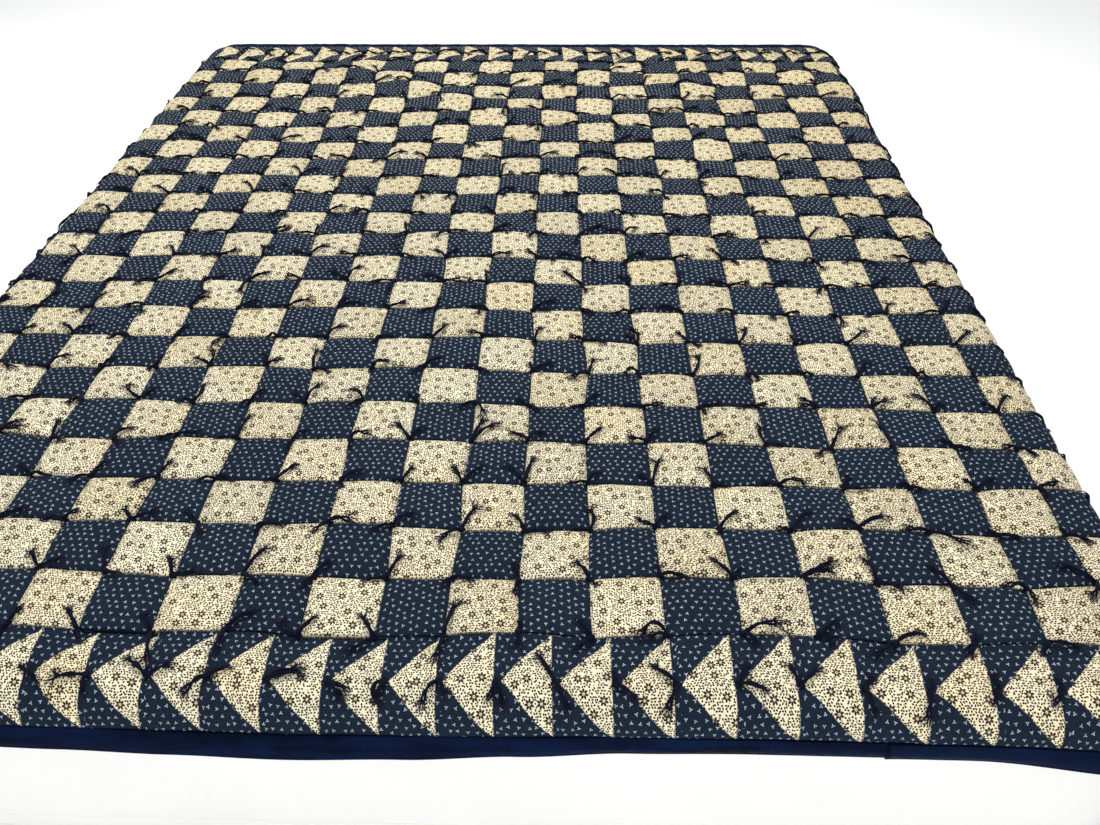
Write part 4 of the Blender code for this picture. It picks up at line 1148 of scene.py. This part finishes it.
foot_row = TIE_FIRST + TIE_PITCH * np.arange(TIES)
foot_row += goose_drift(foot_row) - TIE_BEFORE
ties_foot = tie_mesh("yarn_ties_foot", [(p, -0.5 * BORDER) for p in foot_row], 101)
ties_near = tie_mesh("yarn_ties_near", corners(range(0, 8)), 102)
ties_middle = tie_mesh("yarn_ties_middle", corners(range(8, 16)), 103)
ties_far = tie_mesh("yarn_ties_far", corners(range(16, ROWS + 1)), 104)
ties_edges = tie_mesh(
    "yarn_ties_edges",
    [(HEAD_FIRST + k * HEAD_PITCH, LENGTH + 0.5 * BORDER) for k in range(TIES)]
    + [(-0.5 * BORDER, SIDE_FIRST + k * SIDE_PITCH) for k in range(SIDE_TIES)]
    + [(WIDTH + 0.5 * BORDER, LENGTH - SIDE_FIRST - k * SIDE_PITCH) for k in range(SIDE_TIES)],
    105,
)

# ------------------------------------------------------------ what stands for what

for piece, node, slot, flat in (
    (panel, "quilt_checkerboard", "patchwork", (WIDTH, LENGTH)),
    (foot_border, "border_foot", "pieced_border", (WIDTH + 2 * BORDER, BORDER)),
    (head_border, "border_head", "pieced_border", (WIDTH + 2 * BORDER, BORDER)),
    (left_border, "border_left", "pieced_border", (BORDER, LENGTH)),
    (right_border, "border_right", "pieced_border", (BORDER, LENGTH)),
    (foot_binding, "binding_foot", "binding", (WIDTH + 2 * EDGE, BINDING)),
    (head_binding, "binding_head", "binding", (WIDTH + 2 * EDGE, BINDING)),
    (left_binding, "binding_left", "binding", (BINDING, LENGTH + 2 * BORDER)),
    (right_binding, "binding_right", "binding", (BINDING, LENGTH + 2 * BORDER)),
):
    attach(piece, "root")
    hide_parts(node)

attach(mattress, "root")
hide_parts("mattress")

for piece in (ties_foot, ties_near, ties_middle, ties_far, ties_edges):
    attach(piece, "root")
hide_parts(*[f"tie_{k + 1:02d}" for k in range(TIES)])

# ------------------------------------------------------------- floor, light, camera

floor_mesh = bpy.data.meshes.new("floor")
side = 9.0
floor_mesh.from_pydata([(-side, -side, 0), (side, -side, 0), (side, side, 0), (-side, side, 0)], [], [(0, 1, 2, 3)])
floor_mesh.materials.append(floor_material("pale_floor"))
floor = link("floor", floor_mesh)
floor.location.z = -0.0005

scene = bpy.context.scene
world = bpy.data.worlds.new("studio")
scene.world = world
world.use_nodes = True
background = world.node_tree.nodes["Background"]
background.inputs["Color"].default_value = (0.97, 0.985, 1.0, 1.0)
background.inputs["Strength"].default_value = 0.62


def area_light(name, place, aim, size, power, colour=(1.0, 1.0, 1.0)):
    data = bpy.data.lights.new(name, "AREA")
    data.shape = "RECTANGLE"
    data.size, data.size_y = size
    data.energy = power
    data.color = colour
    made = bpy.data.objects.new(name, data)
    scene.collection.objects.link(made)
    made.location = place
    made.rotation_mode = "QUATERNION"
    made.rotation_quaternion = (Vector(aim) - Vector(place)).to_track_quat("-Z", "Y")
    return made


area_light("overhead", (-0.3, 1.1, 2.6), (0.0, 0.1, 0.2), (2.2, 1.4), 66.0, (1.0, 0.985, 0.96))
area_light("front_fill", (0.2, -3.2, 1.6), (0.0, -0.6, 0.1), (2.6, 1.6), 34.0, (0.98, 0.99, 1.0))

# The camera as solved from the checkerboard's corners, in patches from the
# corner of the eighth column and tie level.
camera_data = bpy.data.cameras.new("camera")
camera = bpy.data.objects.new("camera", camera_data)
scene.collection.objects.link(camera)
camera_data.sensor_fit = "HORIZONTAL"
camera_data.sensor_width = 36.0
camera_data.lens = 32.94
camera_data.shift_x = 0.0236
camera_data.shift_y = -0.0755
camera_data.clip_start, camera_data.clip_end = 0.02, 60.0
turn = Vector((2.17969316, 0.0294042603, -0.0287839909))
to_camera = Quaternion(turn.normalized(), turn.length).to_matrix()
facing = to_camera.transposed() @ Matrix(((1, 0, 0), (0, -1, 0), (0, 0, -1)))
spot = Vector(((3.4516 + 8.0) * PATCH + SHIFT[0], -8.7887 * PATCH + SHIFT[1], 11.2393 * PATCH + SHIFT[2]))
camera.matrix_world = Matrix.Translation(spot) @ facing.to_4x4()
scene.camera = camera

scene.view_settings.view_transform = "Standard"
scene.view_settings.look = "None"
scene.view_settings.exposure = 0.0
scene.view_settings.gamma = 1.0
